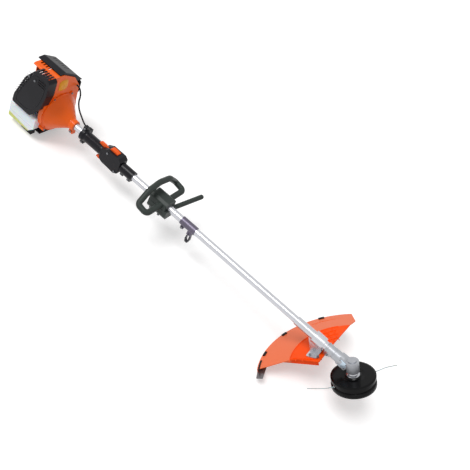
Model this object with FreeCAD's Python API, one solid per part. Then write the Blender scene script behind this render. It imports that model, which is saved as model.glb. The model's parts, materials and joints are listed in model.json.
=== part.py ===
"""Petrol brush cutter with a line head: engine, drive tube, handles, gearbox, guard and head.

Everything is modelled in the machine's own frame: the origin is where the tube axis meets the
spindle axis, +X runs along the tube to the head, +Y is the operator's left and +Z is up.
At the end each piece is turned and moved once, so that the machine lies on its engine stand
and on the guard's rear rim, with the floor at Z = 0 under the middle of its box.
"""
import os
import FreeCAD, Part
from math import atan2, cos, degrees, hypot, pi, radians, sin, tan

os.makedirs("parts", exist_ok=True)
V = FreeCAD.Vector

# ---- driving dimensions (mm, degrees) ----
TUBE_DIAMETER = 26.0
TUBE_WALL = 1.5
TUBE_LENGTH = 1253.0
TUBE_FRONT = -72.0          # the tube's end inside the gearbox neck
GEARBOX_ANGLE = 36.9        # between the spindle and the tube's normal
SHAFT_RADIUS = 4.0
RUN = 0.05                  # radial clearance of running fits
SEAT = 0.03                 # radial clearance of seats
GAP = 0.3                   # between parts that move past each other

HEAD_RADIUS = 75.0
HEAD_TOP = 19.0             # below the crossing of the axes, along the spindle
HEAD_HEIGHT = 47.0
KNOB_RADIUS = 25.0
KNOB_TRAVEL = 4.0
LINE_RADIUS = 1.35

GUARD_RADIUS = 316.0
GUARD_THICK = 3.0
GUARD_PLATE = -34.0         # height of the guard's inner plate along the spindle
GUARD_RIM = -8.0
GUARD_LIP = 9.0

LOOP_HALF_WIDTH = 100.0
LOOP_HEIGHT = 68.0
LOOP_BAR_RADIUS = 11.0
BARRIER_RADIUS = 9.0

GRIP_RADIUS = 20.0
GRIP_LENGTH = 105.0
HARNESS_LENGTH = 66.0
HARNESS_RADIUS = 15.5

BORE_RADIUS = 22.0
STROKE = 34.0
ROD_LENGTH = 60.0
CASE_HALF = 44.0            # half width of the crankcase
FIN_PITCH = 8.0
FIN_THICK = 2.4
FIN_COUNT = 7
HOOD_TOP = 168.0            # the shroud's top above the crank axis
SHROUD_BOTTOM = -82.0

TANK_LENGTH = 126.0
TANK_HALF_WIDTH = 90.0
TANK_BOTTOM = -101.0
TANK_SLANT = 34.0           # the tank's front lower edge is cut at 45 degrees
STAND_FOOT = -122.0         # the stand's foot below the tube axis

# ---- values that follow ----
TUBE_R = TUBE_DIAMETER / 2
TUBE_BORE = TUBE_R - TUBE_WALL
TUBE_REAR = TUBE_FRONT - TUBE_LENGTH
NOSE_X = TUBE_REAR + 32.0            # front of the clutch housing, 32 mm of socket
FLANGE_X = NOSE_X - 92.0             # joint of clutch housing and shroud
CRANK_X = NOSE_X - 147.0
GRIP_REAR = NOSE_X + 38.0
GRIP_FRONT = GRIP_REAR + GRIP_LENGTH
LOOP_X = GRIP_REAR + 405.0
HARNESS_X = LOOP_X + 119.0
ALPHA = radians(GEARBOX_ANGLE)
DOWN = V(sin(ALPHA), 0, -cos(ALPHA))
OUT = V(cos(ALPHA), 0, sin(ALPHA))
X = V(1, 0, 0)
Y = V(0, 1, 0)
Z = V(0, 0, 1)
NODES = {}


# ---- shape helpers ----
def cyl(radius, start, end):
    return Part.makeCylinder(radius, (end - start).Length, start, end - start)


def ring(outer, inner, start, end):
    return cyl(outer, start, end).cut(cyl(inner, start, end))


def xcyl(radius, x0, x1, y=0.0, z=0.0):
    return cyl(radius, V(x0, y, z), V(x1, y, z))


def xring(outer, inner, x0, x1, y=0.0, z=0.0):
    return ring(outer, inner, V(x0, y, z), V(x1, y, z))


def box(x0, x1, y0, y1, z0, z1):
    return Part.makeBox(x1 - x0, y1 - y0, z1 - z0, V(x0, y0, z0))


def fuse(first, *others):
    shape = first.fuse(list(others)) if others else first
    return shape.removeSplitter()


def cut(shape, *tools):
    return shape.cut(list(tools))


def corner_wire(points, radii):
    """Closed wire through points in one plane, each corner rounded by its own radius."""
    count = len(points)
    edges = []
    ends = []
    for i in range(count):
        here = points[i]
        back = (points[i - 1] - here).normalize()
        ahead = (points[(i + 1) % count] - here).normalize()
        turn = back.getAngle(ahead)
        radius = radii[i]
        if radius <= 0 or abs(turn - pi) < 1e-6:
            ends.append((here, here))
            continue
        reach = radius / tan(turn / 2)
        start = here + back * reach
        end = here + ahead * reach
        middle = here + (back + ahead).normalize() * (radius / sin(turn / 2) - radius)
        ends.append((start, end))
        edges.append((i, Part.Arc(start, middle, end).toShape()))
    arcs = dict(edges)
    ordered = []
    for i in range(count):
        if i in arcs:
            ordered.append(arcs[i])
        here = ends[i][1]
        there = ends[(i + 1) % count][0]
        if (there - here).Length > 1e-6:
            ordered.append(Part.LineSegment(here, there).toShape())
    return Part.Wire(ordered)


def prism(points, axis, start, end, radius=0.0):
    """Extrude a rounded outline. Axis x takes (y, z) points, y takes (x, z), z takes (x, y)."""
    place = {"x": lambda p: V(start, p[0], p[1]), "y": lambda p: V(p[0], start, p[1]),
             "z": lambda p: V(p[0], p[1], start)}[axis]
    radii = [p[2] if len(p) > 2 else radius for p in points]
    wire = corner_wire([place(p) for p in points], radii)
    direction = {"x": X, "y": Y, "z": Z}[axis]
    return Part.Face(wire).extrude(direction * (end - start))


def turned(profile, base=V(0, 0, 0), axis=X, side=Z, angle=360.0):
    """Revolve (along, radius) points about an axis through base. A point may be ('arc', mid, end)."""
    def at(p):
        return base + axis * p[0] + side * p[1]
    edges = []
    here = at(profile[0])
    for item in profile[1:] + [profile[0]]:
        if item[0] == "arc":
            end = at(item[2])
            edges.append(Part.Arc(here, at(item[1]), end).toShape())
        else:
            end = at(item)
            edges.append(Part.LineSegment(here, end).toShape())
        here = end
    return Part.Face(Part.Wire(edges)).revolve(base, axis, angle)


def route_edges(points, radii):
    """Straight runs joined by tangent arcs through the given inner corners."""
    edges = []
    here = points[0]
    for i in range(1, len(points) - 1):
        back = (points[i - 1] - points[i]).normalize()
        ahead = (points[i + 1] - points[i]).normalize()
        half = back.getAngle(ahead) / 2
        reach = radii[i - 1] / tan(half)
        start = points[i] + back * reach
        end = points[i] + ahead * reach
        middle = points[i] + (back + ahead).normalize() * (radii[i - 1] / sin(half) - radii[i - 1])
        if (start - here).Length > 1e-6:
            edges.append(Part.LineSegment(here, start).toShape())
        edges.append(Part.Arc(start, middle, end).toShape())
        here = end
    edges.append(Part.LineSegment(here, points[-1]).toShape())
    return edges


def bar(points, radii, radius):
    """Round bar along straight runs and tangent arcs."""
    path = Part.Wire(route_edges(points, radii))
    section = Part.Wire(Part.makeCircle(radius, points[0], points[1] - points[0]))
    return path.makePipeShell([section], True, False)


def cord_radii(points):
    """The largest tangent arcs that the two runs beside each corner allow."""
    radii = []
    for i in range(1, len(points) - 1):
        back = points[i] - points[i - 1]
        ahead = points[i + 1] - points[i]
        turn = back.getAngle(ahead)
        radii.append(0.45 * min(back.Length, ahead.Length) / tan(turn / 2))
    return radii


def screw(point, direction, radius, length):
    """Cap screw whose head sits on point, its shank running along direction."""
    head = cyl(radius * 1.8, point - direction * radius * 1.6, point)
    socket = cyl(radius * 0.8, point - direction * radius * 1.6, point - direction * radius * 0.6)
    return fuse(head.cut(socket), cyl(radius, point, point + direction * length))


def drilled(shape, screws):
    """Cut the seats of the given screws: (point, direction, radius, length)."""
    holes = [cyl(r + SEAT, p, p + d * (n + GAP)) for p, d, r, n in screws]
    return shape.cut(holes)


def head_frame(h, u, y):
    """Point from its place along the spindle, forwards of it and to the left."""
    return DOWN * h + OUT * u + Y * y


def to_head(shape):
    """Turn a shape from local axes (x forwards, z against the spindle) to the tilted head."""
    return shape.rotated(V(0, 0, 0), Y, -GEARBOX_ANGLE)


# ---- screws, so that hosts and screws agree ----
CLAMP_SCREWS = [(V(LOOP_X + x, y, -38), Z, 2.5, 46.0) for x in (-36.0, 3.0) for y in (-19.0, 19.0)]
SHELL_SCREWS = [(V(x, -y, z), Y, 2.0, y + 11) for x, y, z in (
    (GRIP_REAR + 8, 9.0, 31.0), (GRIP_REAR + 8, 9.0, -31.0), (GRIP_FRONT + 30, 20.0, 24.0),
    (GRIP_FRONT + 78, 20.0, -24.0))]
SLEEVE_SCREWS = [(V(GRIP_FRONT + x, -7.0, -22.5), Y, 2.0, 11.0) for x in (103.0, 136.0)]
BRACKET_SCREWS = [(head_frame(GUARD_PLATE - 4.0, u, y), DOWN, 2.5, 7.5)
                  for u in (-138.0, -108.0) for y in (-30.0, 30.0)]
NOSE_SCREW = (V(NOSE_X - 12, -8.0, -29.0), Y, 2.5, 14.0)
FLANGE_ANGLES = [radians(t) for t in (60, 120, 225, 315)]
FLANGE_SCREW_R = 85.0
FLANGE_SCREWS = [(V(FLANGE_X + 4, FLANGE_SCREW_R * cos(a), FLANGE_SCREW_R * sin(a)), -X, 2.0, 9.0)
                 for a in FLANGE_ANGLES]
CASE_SCREWS = [(V(CRANK_X + 35, y, z), -X, 2.5, 55.0) for y, z in ((-37, 30), (37, 30), (-31, -31), (31, -31))]
STARTER_SCREWS = [(V(CRANK_X - 77, 42.5 * cos(a), 42.5 * sin(a)), X, 2.0, 52.0)
                  for a in (radians(t) for t in (0, 180))]
COVER_SCREWS = [(V(CRANK_X + x, -100.0, z), Y, 2.0, 9.5) for x, z in ((-20, 137), (8, 137))]


# ---- drive tube ----
def drive_tube():
    return xring(TUBE_R, TUBE_BORE, TUBE_REAR, TUBE_FRONT)


def shaft_bushes():
    count = 5
    step = (TUBE_LENGTH - 90.0) / (count - 1)
    bushes = []
    for i in range(count):
        x = TUBE_REAR + 30.0 + i * step
        bushes.append(xring(TUBE_BORE - SEAT, SHAFT_RADIUS + RUN, x, x + 30.0))
    return Part.makeCompound(bushes)


def drive_shaft():
    rear = TUBE_REAR - 10.0
    front = TUBE_FRONT + 16.0
    return xcyl(SHAFT_RADIUS, rear, front)


def tube_sleeve():
    return xring(TUBE_R + 3.0, TUBE_R + SEAT, TUBE_FRONT - 169.0, TUBE_FRONT - 39.0)


# ---- gearbox ----
NECK_REAR = TUBE_FRONT - 38.0
BALL_RADIUS = 22.0


def gearbox_housing():
    neck = xcyl(TUBE_R + 5.0, NECK_REAR, TUBE_FRONT + 4)
    collar = xcyl(TUBE_R + 6.5, TUBE_FRONT - 4, TUBE_FRONT + 30)
    flats = prism([(TUBE_FRONT + 14, -17, 4), (-18, -17, 4), (-18, 17, 4), (TUBE_FRONT + 14, 17, 4)],
                  "y", -15.5, 15.5)
    ball = cyl(BALL_RADIUS, DOWN * -34, DOWN * 5)
    cap = cyl(15.0, DOWN * -37, DOWN * -33)
    lower = turned([(2, 0), (2, BALL_RADIUS), (9.5, 16.5), (10.5, 16.5), (10.5, 0)], axis=DOWN, side=OUT)
    lug = box(NECK_REAR + 6, NECK_REAR + 28, -6.0, 6.0, -27, -15)
    body = fuse(neck, collar, flats, ball, cap, lower, lug)
    tube_seat = xcyl(TUBE_R + SEAT, NECK_REAR - 1, TUBE_FRONT)
    bearing_seat = xcyl(12.0 + SEAT, TUBE_FRONT - 1, TUBE_FRONT + 28)
    gear_room = cyl(16.5, DOWN * -26, DOWN * 1.0)
    pinion_room = xcyl(12.0 + SEAT, TUBE_FRONT + 27, -16)
    top_seat = cyl(11.0 + SEAT, DOWN * -32, DOWN * -25.5)
    low_seat = cyl(11.0 + SEAT, DOWN * 0.5, DOWN * 9.0)
    outlet = cyl(7.0, DOWN * 8, DOWN * 12)
    slit = box(NECK_REAR - 1, NECK_REAR + 26, -0.6, 0.6, -28, -TUBE_R + 1)
    lug_hole = cyl(2.5 + SEAT, V(NECK_REAR + 17, -6.1, -22), V(NECK_REAR + 17, 10.3, -22))
    return cut(body, tube_seat, bearing_seat, gear_room, pinion_room, top_seat, low_seat, outlet,
               slit, lug_hole)


def cone_gear(teeth, tip_radius, length, half_angle, base, axis):
    """Bevel gear: a frustum whose grooves leave the teeth, its small end at base."""
    side = Y
    grown = tip_radius + length * tan(half_angle)
    blank = turned([(0, 0), (0, tip_radius), (length, grown), (length, 0)], base, axis, side)
    groove = prism([(-0.5, -1.3), (0.5, -1.3), (1.2, 1.2), (-1.2, 1.2)], "x", -2.0, length * 1.4 + 2)
    cuts = []
    for i in range(teeth):
        tool = groove.rotated(V(0, 0, 0), Y, -degrees(half_angle))
        tool.translate(V(0, 0, tip_radius))
        tool.rotate(V(0, 0, 0), X, 360.0 * i / teeth)
        tool.Placement = FreeCAD.Placement(base, FreeCAD.Rotation(X, axis)).multiply(tool.Placement)
        cuts.append(tool)
    return blank.cut(cuts)


def pinion_gear():
    face = TUBE_FRONT + 29.0
    stem = xcyl(6.5, TUBE_FRONT + 2.0, face + 10)
    gear = cone_gear(14, 7.3, 9.0, radians(22.0), V(-19.5, 0, 0), V(-1, 0, 0))
    neck = xcyl(6.5, face, -26.0)
    bore = xcyl(SHAFT_RADIUS + SEAT, TUBE_FRONT, TUBE_FRONT + 16.5)
    return cut(fuse(stem, gear, neck), bore)


def output_spindle():
    gear = cone_gear(19, 10.2, 6.5, radians(31.0), DOWN * -17.0, DOWN * -1)
    spindle = cyl(5.0, DOWN * -31.5, DOWN * (HEAD_TOP + 36))
    flange = turned([(11.5, 0), (11.5, 14), (16, 16), (HEAD_TOP, 22), (HEAD_TOP, 0)], axis=DOWN, side=OUT)
    return fuse(gear, spindle, flange)


def bearing(outer, inner, start, end):
    """Sealed ball bearing as its two rings and the shield between them."""
    groove = (outer - inner) * 0.3
    along = (end - start).normalize()
    width = (end - start).Length
    body = ring(outer, inner, start, end)
    dish = ring(outer - groove, inner + groove, start, start + along * 0.6)
    back = ring(outer - groove, inner + groove, end - along * 0.6, end)
    return body.cut([dish, back]) if width > 2 else body


def ball_bearings():
    places = [
        (12.0, 6.5 + RUN, V(TUBE_FRONT + 4, 0, 0), V(TUBE_FRONT + 14, 0, 0)),
        (12.0, 6.5 + RUN, V(TUBE_FRONT + 16, 0, 0), V(TUBE_FRONT + 26, 0, 0)),
        (11.0, 5.0 + RUN, DOWN * -31.5, DOWN * -25.5),
        (11.0, 5.0 + RUN, DOWN * 1.0, DOWN * 8.0),
        (14.0, 7.0 + RUN, V(TUBE_REAR - 9, 0, 0), V(TUBE_REAR - 1.5, 0, 0)),
        (14.0, 7.0 + RUN, V(TUBE_REAR - 17.5, 0, 0), V(TUBE_REAR - 10, 0, 0)),
        (15.0, 6.0 + RUN, V(CRANK_X + 20, 0, 0), V(CRANK_X + 28, 0, 0)),
        (15.0, 6.0 + RUN, V(CRANK_X - 28, 0, 0), V(CRANK_X - 20, 0, 0)),
    ]
    return Part.makeCompound([bearing(*place) for place in places])


# ---- guard ----
def guard():
    rise = -GUARD_PLATE
    edge = -GUARD_RIM
    knee = 205.0
    t = GUARD_THICK
    r = GUARD_RADIUS
    section = [(rise, 60), (rise, knee), (edge, r), (edge - GUARD_LIP, r), (edge - GUARD_LIP, r - t),
               (edge - t * 0.6, r - t), (rise - t, knee), (rise - t, 60)]
    disc = turned(section, axis=Z, side=X)
    plan = [(-96, -46, 4), (-168, -60, 10), (-250, -112, 30), (-340, -166, 0), (-420, 0, 0),
            (-340, 330, 0), (-150, 330, 0), (-139, 293, 6), (-90, 226, 6), (-96, 70, 8)]
    sheet = disc.common(prism(plan, "z", -20, 60))
    ribs = []
    for angle in (150, 165, 180, 195):
        rib = box(112, r - t - 1, -1.1, 1.1, edge - 4, rise - t + 0.2)
        rib = rib.common(turned([(edge - 4, 100), (rise - t + 0.2, 100), (rise - t + 0.2, knee),
                                 (edge - t * 0.6, r - t), (edge - 4, r - t)], axis=Z, side=X))
        rib.rotate(V(0, 0, 0), Z, angle)
        ribs.append(rib.common(prism(plan, "z", -20, 60)))
    shape = to_head(fuse(sheet, *ribs))
    return drilled(shape, BRACKET_SCREWS)


def guard_bracket():
    top = -GUARD_PLATE
    base = prism([(-150, -38, 6), (-97, -38, 6), (-97, 38, 6), (-150, 38, 6)], "z", top, top + 4.0)
    riser = to_head(fuse(base, box(-146, -104, -13, 13, top + 3, top + 75)))
    clamp = xcyl(TUBE_R + 9.0, TUBE_FRONT - 92, TUBE_FRONT - 50)
    keep = box(TUBE_FRONT - 130, TUBE_FRONT - 40, -40, 40, -200, 0)
    shape = fuse(riser.common(keep), clamp)
    shape = shape.cut(xcyl(TUBE_R + 3.0 + SEAT, TUBE_FRONT - 140, TUBE_FRONT - 20))
    return drilled(shape, BRACKET_SCREWS)


def line_cutter():
    low = -GUARD_RIM - GUARD_LIP
    plan = [(-300, -103, 2), (-272, -94, 2), (-250, -158, 3), (-271, -166, 3)]
    return to_head(prism(plan, "z", low - 2.0, low))


# ---- trimmer head ----
EYE_ANGLES = (-126.0, 54.0)
EYE_H = HEAD_TOP + 23.0


def eye_direction(angle):
    return OUT * cos(radians(angle)) + Y * sin(radians(angle))


def head_housing():
    r = HEAD_RADIUS
    top = HEAD_TOP
    low = HEAD_TOP + HEAD_HEIGHT
    mid = EYE_H
    upper = turned([(top, 5 + SEAT), (top, 24), (top + 3, 28), (top + 1.5, 40), (top + 1.5, r - 6),
                    (top + 4, r), (mid - 9, r), (mid - 6, r - 5), (mid + 3, r - 5), (mid + 3, 62),
                    (top + 5, 62), (top + 5, 5 + SEAT)], axis=DOWN, side=OUT)
    lower = turned([(mid + 3, 62), (mid + 3, r - 5), (mid + 6, r), (low - 5, r), (low, r - 6),
                    (low, KNOB_RADIUS + GAP), (low - 4, KNOB_RADIUS + GAP), (low - 4, 62)],
                   axis=DOWN, side=OUT)
    eyes = []
    holes = []
    for angle in EYE_ANGLES:
        d = eye_direction(angle)
        seat = DOWN * EYE_H
        holes.append(cyl(4.0 + SEAT, seat + d * 55, seat + d * (r + 2)))
        eyes.append(ring(4.0, 1.6, seat + d * 62.5, seat + d * (r - 3.0)))
    return Part.makeCompound([upper.cut(holes), lower.cut(holes)] + eyes)


def line_spool():
    top = HEAD_TOP + 10.0
    low = HEAD_TOP + HEAD_HEIGHT - 6.0
    spool = turned([(top, 9), (top, 58), (top + 2, 58), (top + 2, 30), (EYE_H - 1, 30),
                    (EYE_H - 1, 56), (EYE_H + 1, 56), (EYE_H + 1, 30), (low - 2, 30), (low - 2, 58),
                    (low, 58), (low, 9)], axis=DOWN, side=OUT)
    knob = turned([(low, 0), (low, KNOB_RADIUS), (low + 14, KNOB_RADIUS), (low + 20, KNOB_RADIUS - 6),
                   (low + 20, 0)], axis=DOWN, side=OUT)
    return Part.makeCompound([spool, knob])


LINE_BENDS = {
    EYE_ANGLES[0]: ((0.0, 0.0, 0.0), (22.0, 3.0, 0.0), (44.0, 15.0, 0.0), (62.0, 27.0, 1.0), (80.0, 38.0, 1.0)),
    EYE_ANGLES[1]: ((0.0, 0.0, 0.0), (24.0, 0.8, 0.3), (47.0, -0.9, -0.4), (69.0, 1.5, 0.6), (90.0, 5.5, 2.2)),
}


def line_route(angle):
    """Free line from its eyelet: each point by its run outwards, its drift sideways and its dip."""
    d = eye_direction(angle)
    side = DOWN.cross(d)
    start = DOWN * EYE_H + d * (HEAD_RADIUS - 3.0)
    return [start + d * run + side * drift + DOWN * dip for run, drift, dip in LINE_BENDS[angle]]


def line_end(angle):
    points = line_route(angle)
    return bar(points, cord_radii(points), LINE_RADIUS)


# ---- clutch and crank ----
def flange_ear(angle, x0, x1):
    r = FLANGE_SCREW_R
    return xcyl(7.0, x0, x1, r * cos(angle), r * sin(angle))


def clutch_housing():
    n = NOSE_X
    f = FLANGE_X
    section = [(n, TUBE_R + SEAT), (n, 18.5), (n - 2, 20), (n - 20, 21.5),
               ("arc", (n - 48, 42), (f + 3, 77)), (f + 3, 80), (f, 80), (f, 73), (f + 4, 71),
               (n - 52, 41.5), (n - 52, 15.5), (n - 50.5, 15.5), (n - 50.5, 14 + SEAT),
               (n - 33.5, 14 + SEAT), (n - 33.5, 10), (n - 32, 10), (n - 32, TUBE_R + SEAT)]
    shell = turned(section)
    lug = box(n - 21, n - 3, -8, 8, -36, -19)
    lug = lug.cut(xcyl(19.5, n - 30, n + 1))
    ears = [flange_ear(a, f, f + 4) for a in FLANGE_ANGLES]
    ears = [e.cut(xcyl(72.0, f - 1, f + 5)) for e in ears]
    return drilled(fuse(shell, lug, *ears), [NOSE_SCREW] + FLANGE_SCREWS)


def clutch_drum():
    n = NOSE_X
    shaft = xcyl(7.0, n - 54, n - 33.8)
    cup = turned([(n - 52.5, 0), (n - 52.5, 39), (n - 79, 39), (n - 79, 36.5), (n - 55, 36.5),
                  (n - 55, 0)])
    return cut(fuse(shaft, cup), xcyl(SHAFT_RADIUS + SEAT, n - 43, n - 30))


def clutch_shoes():
    n = NOSE_X
    both = xring(35.5, 14.0, n - 75, n - 57)
    slot = box(n - 80, n - 50, -2.5, 2.5, -40, 40)
    pins = [xcyl(4 + SEAT, n - 80, n - 50, y, 0) for y in (-24, 24)]
    spring = xring(13.7, 12.2, n - 67, n - 64)
    halves = cut(both, slot, *pins).Solids
    screws = [fuse(xcyl(4.0, n - 90.0, n - 57.0, y, 0), xcyl(6.0, n - 57.0, n - 55.5, y, 0))
              for y in (-24, 24)]
    return Part.makeCompound(halves + [spring] + screws)


def flywheel():
    n = NOSE_X
    disc = xring(56, 6 + SEAT, n - 102, n - 90)
    disc = disc.cut(xring(46, 32, n - 94, n - 89))
    blades = []
    for i in range(18):
        blade = box(n - 90.2, n - 81, -1.2, 1.2, 36, 62).cut(xcyl(42, n - 100, n - 70))
        blade = fuse(blade, box(n - 92, n - 90, -1.2, 1.2, 47, 62)) if i % 2 else blade
        blade.rotate(V(0, 0, 0), X, 20.0 * i)
        blades.append(blade)
    pins = [xcyl(4 + SEAT, n - 91, n - 80, y, 0) for y in (-24, 24)]
    body = cut(fuse(disc, *blades), *pins)
    return body


def crankshaft():
    c = CRANK_X
    webs = xcyl(26, c - 12, c + 12).cut(xcyl(27, c - 4, c + 4))
    front = xcyl(6, c + 4, c + 58)
    rear = xcyl(6, c - 52, c - 4)
    front_web, rear_web = sorted(webs.Solids, key=lambda s: -s.CenterOfMass.x)
    nut = prism([(10 * cos(radians(a)), 10 * sin(radians(a))) for a in range(0, 360, 60)], "x",
                c + 57.2, c + 63)
    return Part.makeCompound([fuse(front_web, front, nut), fuse(rear_web, rear)])


def crank_throw():
    """Height of the crank pin at bottom dead centre."""
    return -STROKE / 2


def connecting_rod():
    c = CRANK_X
    z0 = crank_throw()
    z1 = z0 + ROD_LENGTH
    t = 3.6
    big = xring(9, 5.5, c - t, c + t, 0, z0)
    small = xring(7, 4.5, c - t, c + t, 0, z1)
    shank = box(c - 2.5, c + 2.5, -4.5, 4.5, z0 + 7, z1 - 5.5)
    shank = cut(shank, xcyl(5.5, c - 5, c + 5, 0, z0), xcyl(4.5, c - 5, c + 5, 0, z1))
    rod = fuse(big, small, shank)
    crank_pin = xcyl(5.5 - SEAT, c - 3.7, c + 3.7, 0, z0)
    piston_pin = xcyl(4.5 - SEAT, c - 18, c + 18, 0, z1)
    return Part.makeCompound([rod, crank_pin, piston_pin])


def piston():
    c = CRANK_X
    z1 = crank_throw() + ROD_LENGTH
    crown = V(c, 0, z1 + 16)
    skirt = V(c, 0, z1 - 13)
    body = cyl(BORE_RADIUS - 0.06, skirt, crown)
    hollow = cyl(BORE_RADIUS - 3.5, skirt - Z, crown - Z * 5)
    bosses = [box(c - 19, c - 4.2, -8, 8, z1 - 8, z1 + 12), box(c + 4.2, c + 19, -8, 8, z1 - 8, z1 + 12)]
    shape = fuse(body.cut(hollow), *bosses)
    pin = xcyl(4.5 + SEAT, c - 19.2, c + 19.2, 0, z1)
    grooves = [ring(BORE_RADIUS + 1, BORE_RADIUS - 2, crown - Z * (d + 1.6), crown - Z * d) for d in (3.0, 7.0)]
    rings = [ring(BORE_RADIUS - SEAT, BORE_RADIUS - 1.9, crown - Z * (d + 1.55), crown - Z * (d + 0.05))
             for d in (3.0, 7.0)]
    return Part.makeCompound([cut(shape, pin, *grooves)] + rings)


def case_block():
    c = CRANK_X
    h = CASE_HALF
    outline = [(-h, -30, 14), (-22, -h - 2, 14), (22, -h - 2, 14), (h, -30, 14), (h, 38, 4), (-h, 38, 4)]
    block = prism(outline, "x", c - 35, c + 35)
    room = xcyl(30, c - 18.5, c + 18.5)
    seats = xcyl(15 + SEAT, c - 28.5, c + 28.5)
    shaft = xcyl(9, c - 40, c + 40)
    throat = cyl(BORE_RADIUS + 0.6, V(c, 0, 10), V(c, 0, 45))
    return drilled(cut(block, room, seats, shaft, throat), CASE_SCREWS + STARTER_SCREWS)


def crankcase_front():
    c = CRANK_X
    return case_block().common(box(c, c + 60, -80, 80, -80, 80))


def crankcase_rear():
    c = CRANK_X
    return case_block().common(box(c - 60, c, -80, 80, -80, 80))


def cylinder():
    c = CRANK_X
    base = 38.0
    roof = crank_throw() + ROD_LENGTH + 16 + STROKE + 3.0
    barrel = cyl(28, V(c, 0, base), V(c, 0, roof + 12))
    foot = box(c - 33, c + 33, -33, 33, base, base + 6)
    fins = []
    for i in range(FIN_COUNT):
        z = base + 14 + i * FIN_PITCH
        half = 40 if i < FIN_COUNT - 1 else 34
        fins.append(prism([(c - 37, -half, 8), (c + 37, -half, 8), (c + 37, half, 8), (c - 37, half, 8)],
                          "z", z, z + FIN_THICK))
    outlet = box(c - 18, c + 18, -44, -20, base + 20, base + 52)
    inlet = box(c - 18, c + 18, 20, 44, base + 14, base + 44)
    bore = cyl(BORE_RADIUS, V(c, 0, base - 1), V(c, 0, roof))
    ports = [cyl(9, V(c, -45, base + 38), V(c, -15, base + 38)),
             cyl(8, V(c, 15, base + 28), V(c, 45, base + 28))]
    plug = cyl(5 + SEAT, V(c, 0, roof - 1), V(c, 0, roof + 30))
    return cut(fuse(barrel, foot, outlet, inlet, *fins), bore, plug, *ports)


PLUG_SEAT = crank_throw() + ROD_LENGTH + 16 + STROKE + 3.0 + 12.0


def spark_plug():
    base = V(CRANK_X, 0, PLUG_SEAT)
    thread = cyl(5, base - Z * 12, base)
    hexagon = prism([(CRANK_X + 9.5 * cos(radians(a)), 9.5 * sin(radians(a))) for a in range(0, 360, 60)],
                    "z", PLUG_SEAT, PLUG_SEAT + 8)
    insulator = turned([(8, 0), (8, 6), (26, 4.5), (30, 3), (30, 0)], base, Z, X)
    return fuse(thread, hexagon, insulator)


def plug_boot():
    base = V(CRANK_X, 0, PLUG_SEAT)
    boot = turned([(10, 6.2), (10, 9), (32, 8), (36, 6), (36, 0), (30.3, 0), (30.3, 6.2)], base, Z, X)
    top = PLUG_SEAT + 27.0
    lead = [V(CRANK_X + 7, 0, top), V(CRANK_X + 26, 0, top), V(CRANK_X + 44, -16, top - 6),
            V(CRANK_X + 44, -40, top - 12), V(CRANK_X + 44, -53, top - 26), V(CRANK_X + 44, -53, 96)]
    wire = bar(lead, cord_radii(lead), 3.0)
    hole = cyl(6.2, base, base + Z * 30.3)
    return fuse(boot, wire.cut(hole))


def ignition_coil():
    x0 = CRANK_X + 37.5
    core = box(x0, x0 + 12, -66, -42, 60, 74)
    legs = [box(x0, x0 + 12, -66, -58, 46, 61), box(x0, x0 + 12, -50, -42, 46, 61)]
    legs = [leg.cut(xcyl(62.6, x0 - 1, x0 + 13)) for leg in legs]
    block = box(x0 - 3, x0 + 12, -63, -43, 74, 96)
    return fuse(core, block, *legs)


# ---- engine covers ----
HOOD_OUTLINE = [(-82, 0), (-85, 120), (-64, HOOD_TOP), (-14, HOOD_TOP), (42, 142), (76, 96), (82, 0)]


def hood_solid(x0, x1, grow):
    """The shroud's outline, grown outwards, as a solid from x0 to x1."""
    cy = sum(p[0] for p in HOOD_OUTLINE) / len(HOOD_OUTLINE)
    cz = 80.0
    points = []
    for y, z in HOOD_OUTLINE:
        reach = hypot(y - cy, z - cz)
        scale = 1 + grow / reach * 1.25
        points.append((cy + (y - cy) * scale, cz + (z - cz) * scale if z > 0 else z, 16 if z > 0 else 0))
    upper = prism(points, "x", x0, x1)
    return fuse(upper, xcyl(grow - SHROUD_BOTTOM, x0, x1))


def fan_shroud():
    f = FLANGE_X
    c = CRANK_X
    wall = 3.0
    outer = hood_solid(f - 18, f, 0.0)
    inner = hood_solid(f - 19, f - wall, -wall)
    ring_part = outer.cut(inner)
    ears = [flange_ear(a, f - 18, f).cut(xcyl(78.0, f - 19, f + 1)) for a in FLANGE_ANGLES[2:]]
    ring_part = fuse(ring_part.cut(xcyl(70.5, f - wall - 1, f + 1)), *ears)
    back = c - 45.0
    hood_out = hood_solid(back, f - 17.9, 0.0)
    hood_in = hood_solid(back + wall, f - 17, -wall)
    clear = box(back - 1, f - 17.9, -120, 120, -120, 52)
    exhaust = box(back - 1, f - 17.9, -120, -48, 30, 162)
    intake = box(c - 40, c + 34, 60, 120, 40, 112)
    hood = cut(hood_out.cut(hood_in), clear, exhaust, intake)
    vents = [box(c - 34 + i * 12, c - 28 + i * 12, -46, 46, HOOD_TOP - 12, HOOD_TOP + 8) for i in range(4)]
    rear_vents = [box(back - 1, back + wall + 1, -36, 36, 66 + i * 11, 71 + i * 11) for i in range(7)]
    shape = fuse(ring_part, hood.cut(vents + rear_vents))
    cable = xcyl(3.0 + GAP, f - 10, f + 5, CABLE_Y, CABLE_Z)
    return drilled(shape, FLANGE_SCREWS).cut(cable)


def muffler():
    c = CRANK_X
    body = prism([(c - 36, 46), (c + 26, 46), (c + 26, 124), (c - 36, 124)], "y", -90, -44, 10)
    room = prism([(c - 34, 48), (c + 24, 48), (c + 24, 122), (c - 34, 122)], "y", -88, -46, 8)
    pipe = cyl(8, V(c - 20, -67, 47), V(c - 20, -67, 38)).cut(cyl(6, V(c - 20, -67, 49), V(c - 20, -67, 37)))
    port = cyl(9, V(c, -47, 76), V(c, -43, 76))
    mouth = cyl(6, V(c - 20, -67, 49), V(c - 20, -67, 45))
    return fuse(body.cut([room, port, mouth]), pipe)


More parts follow.
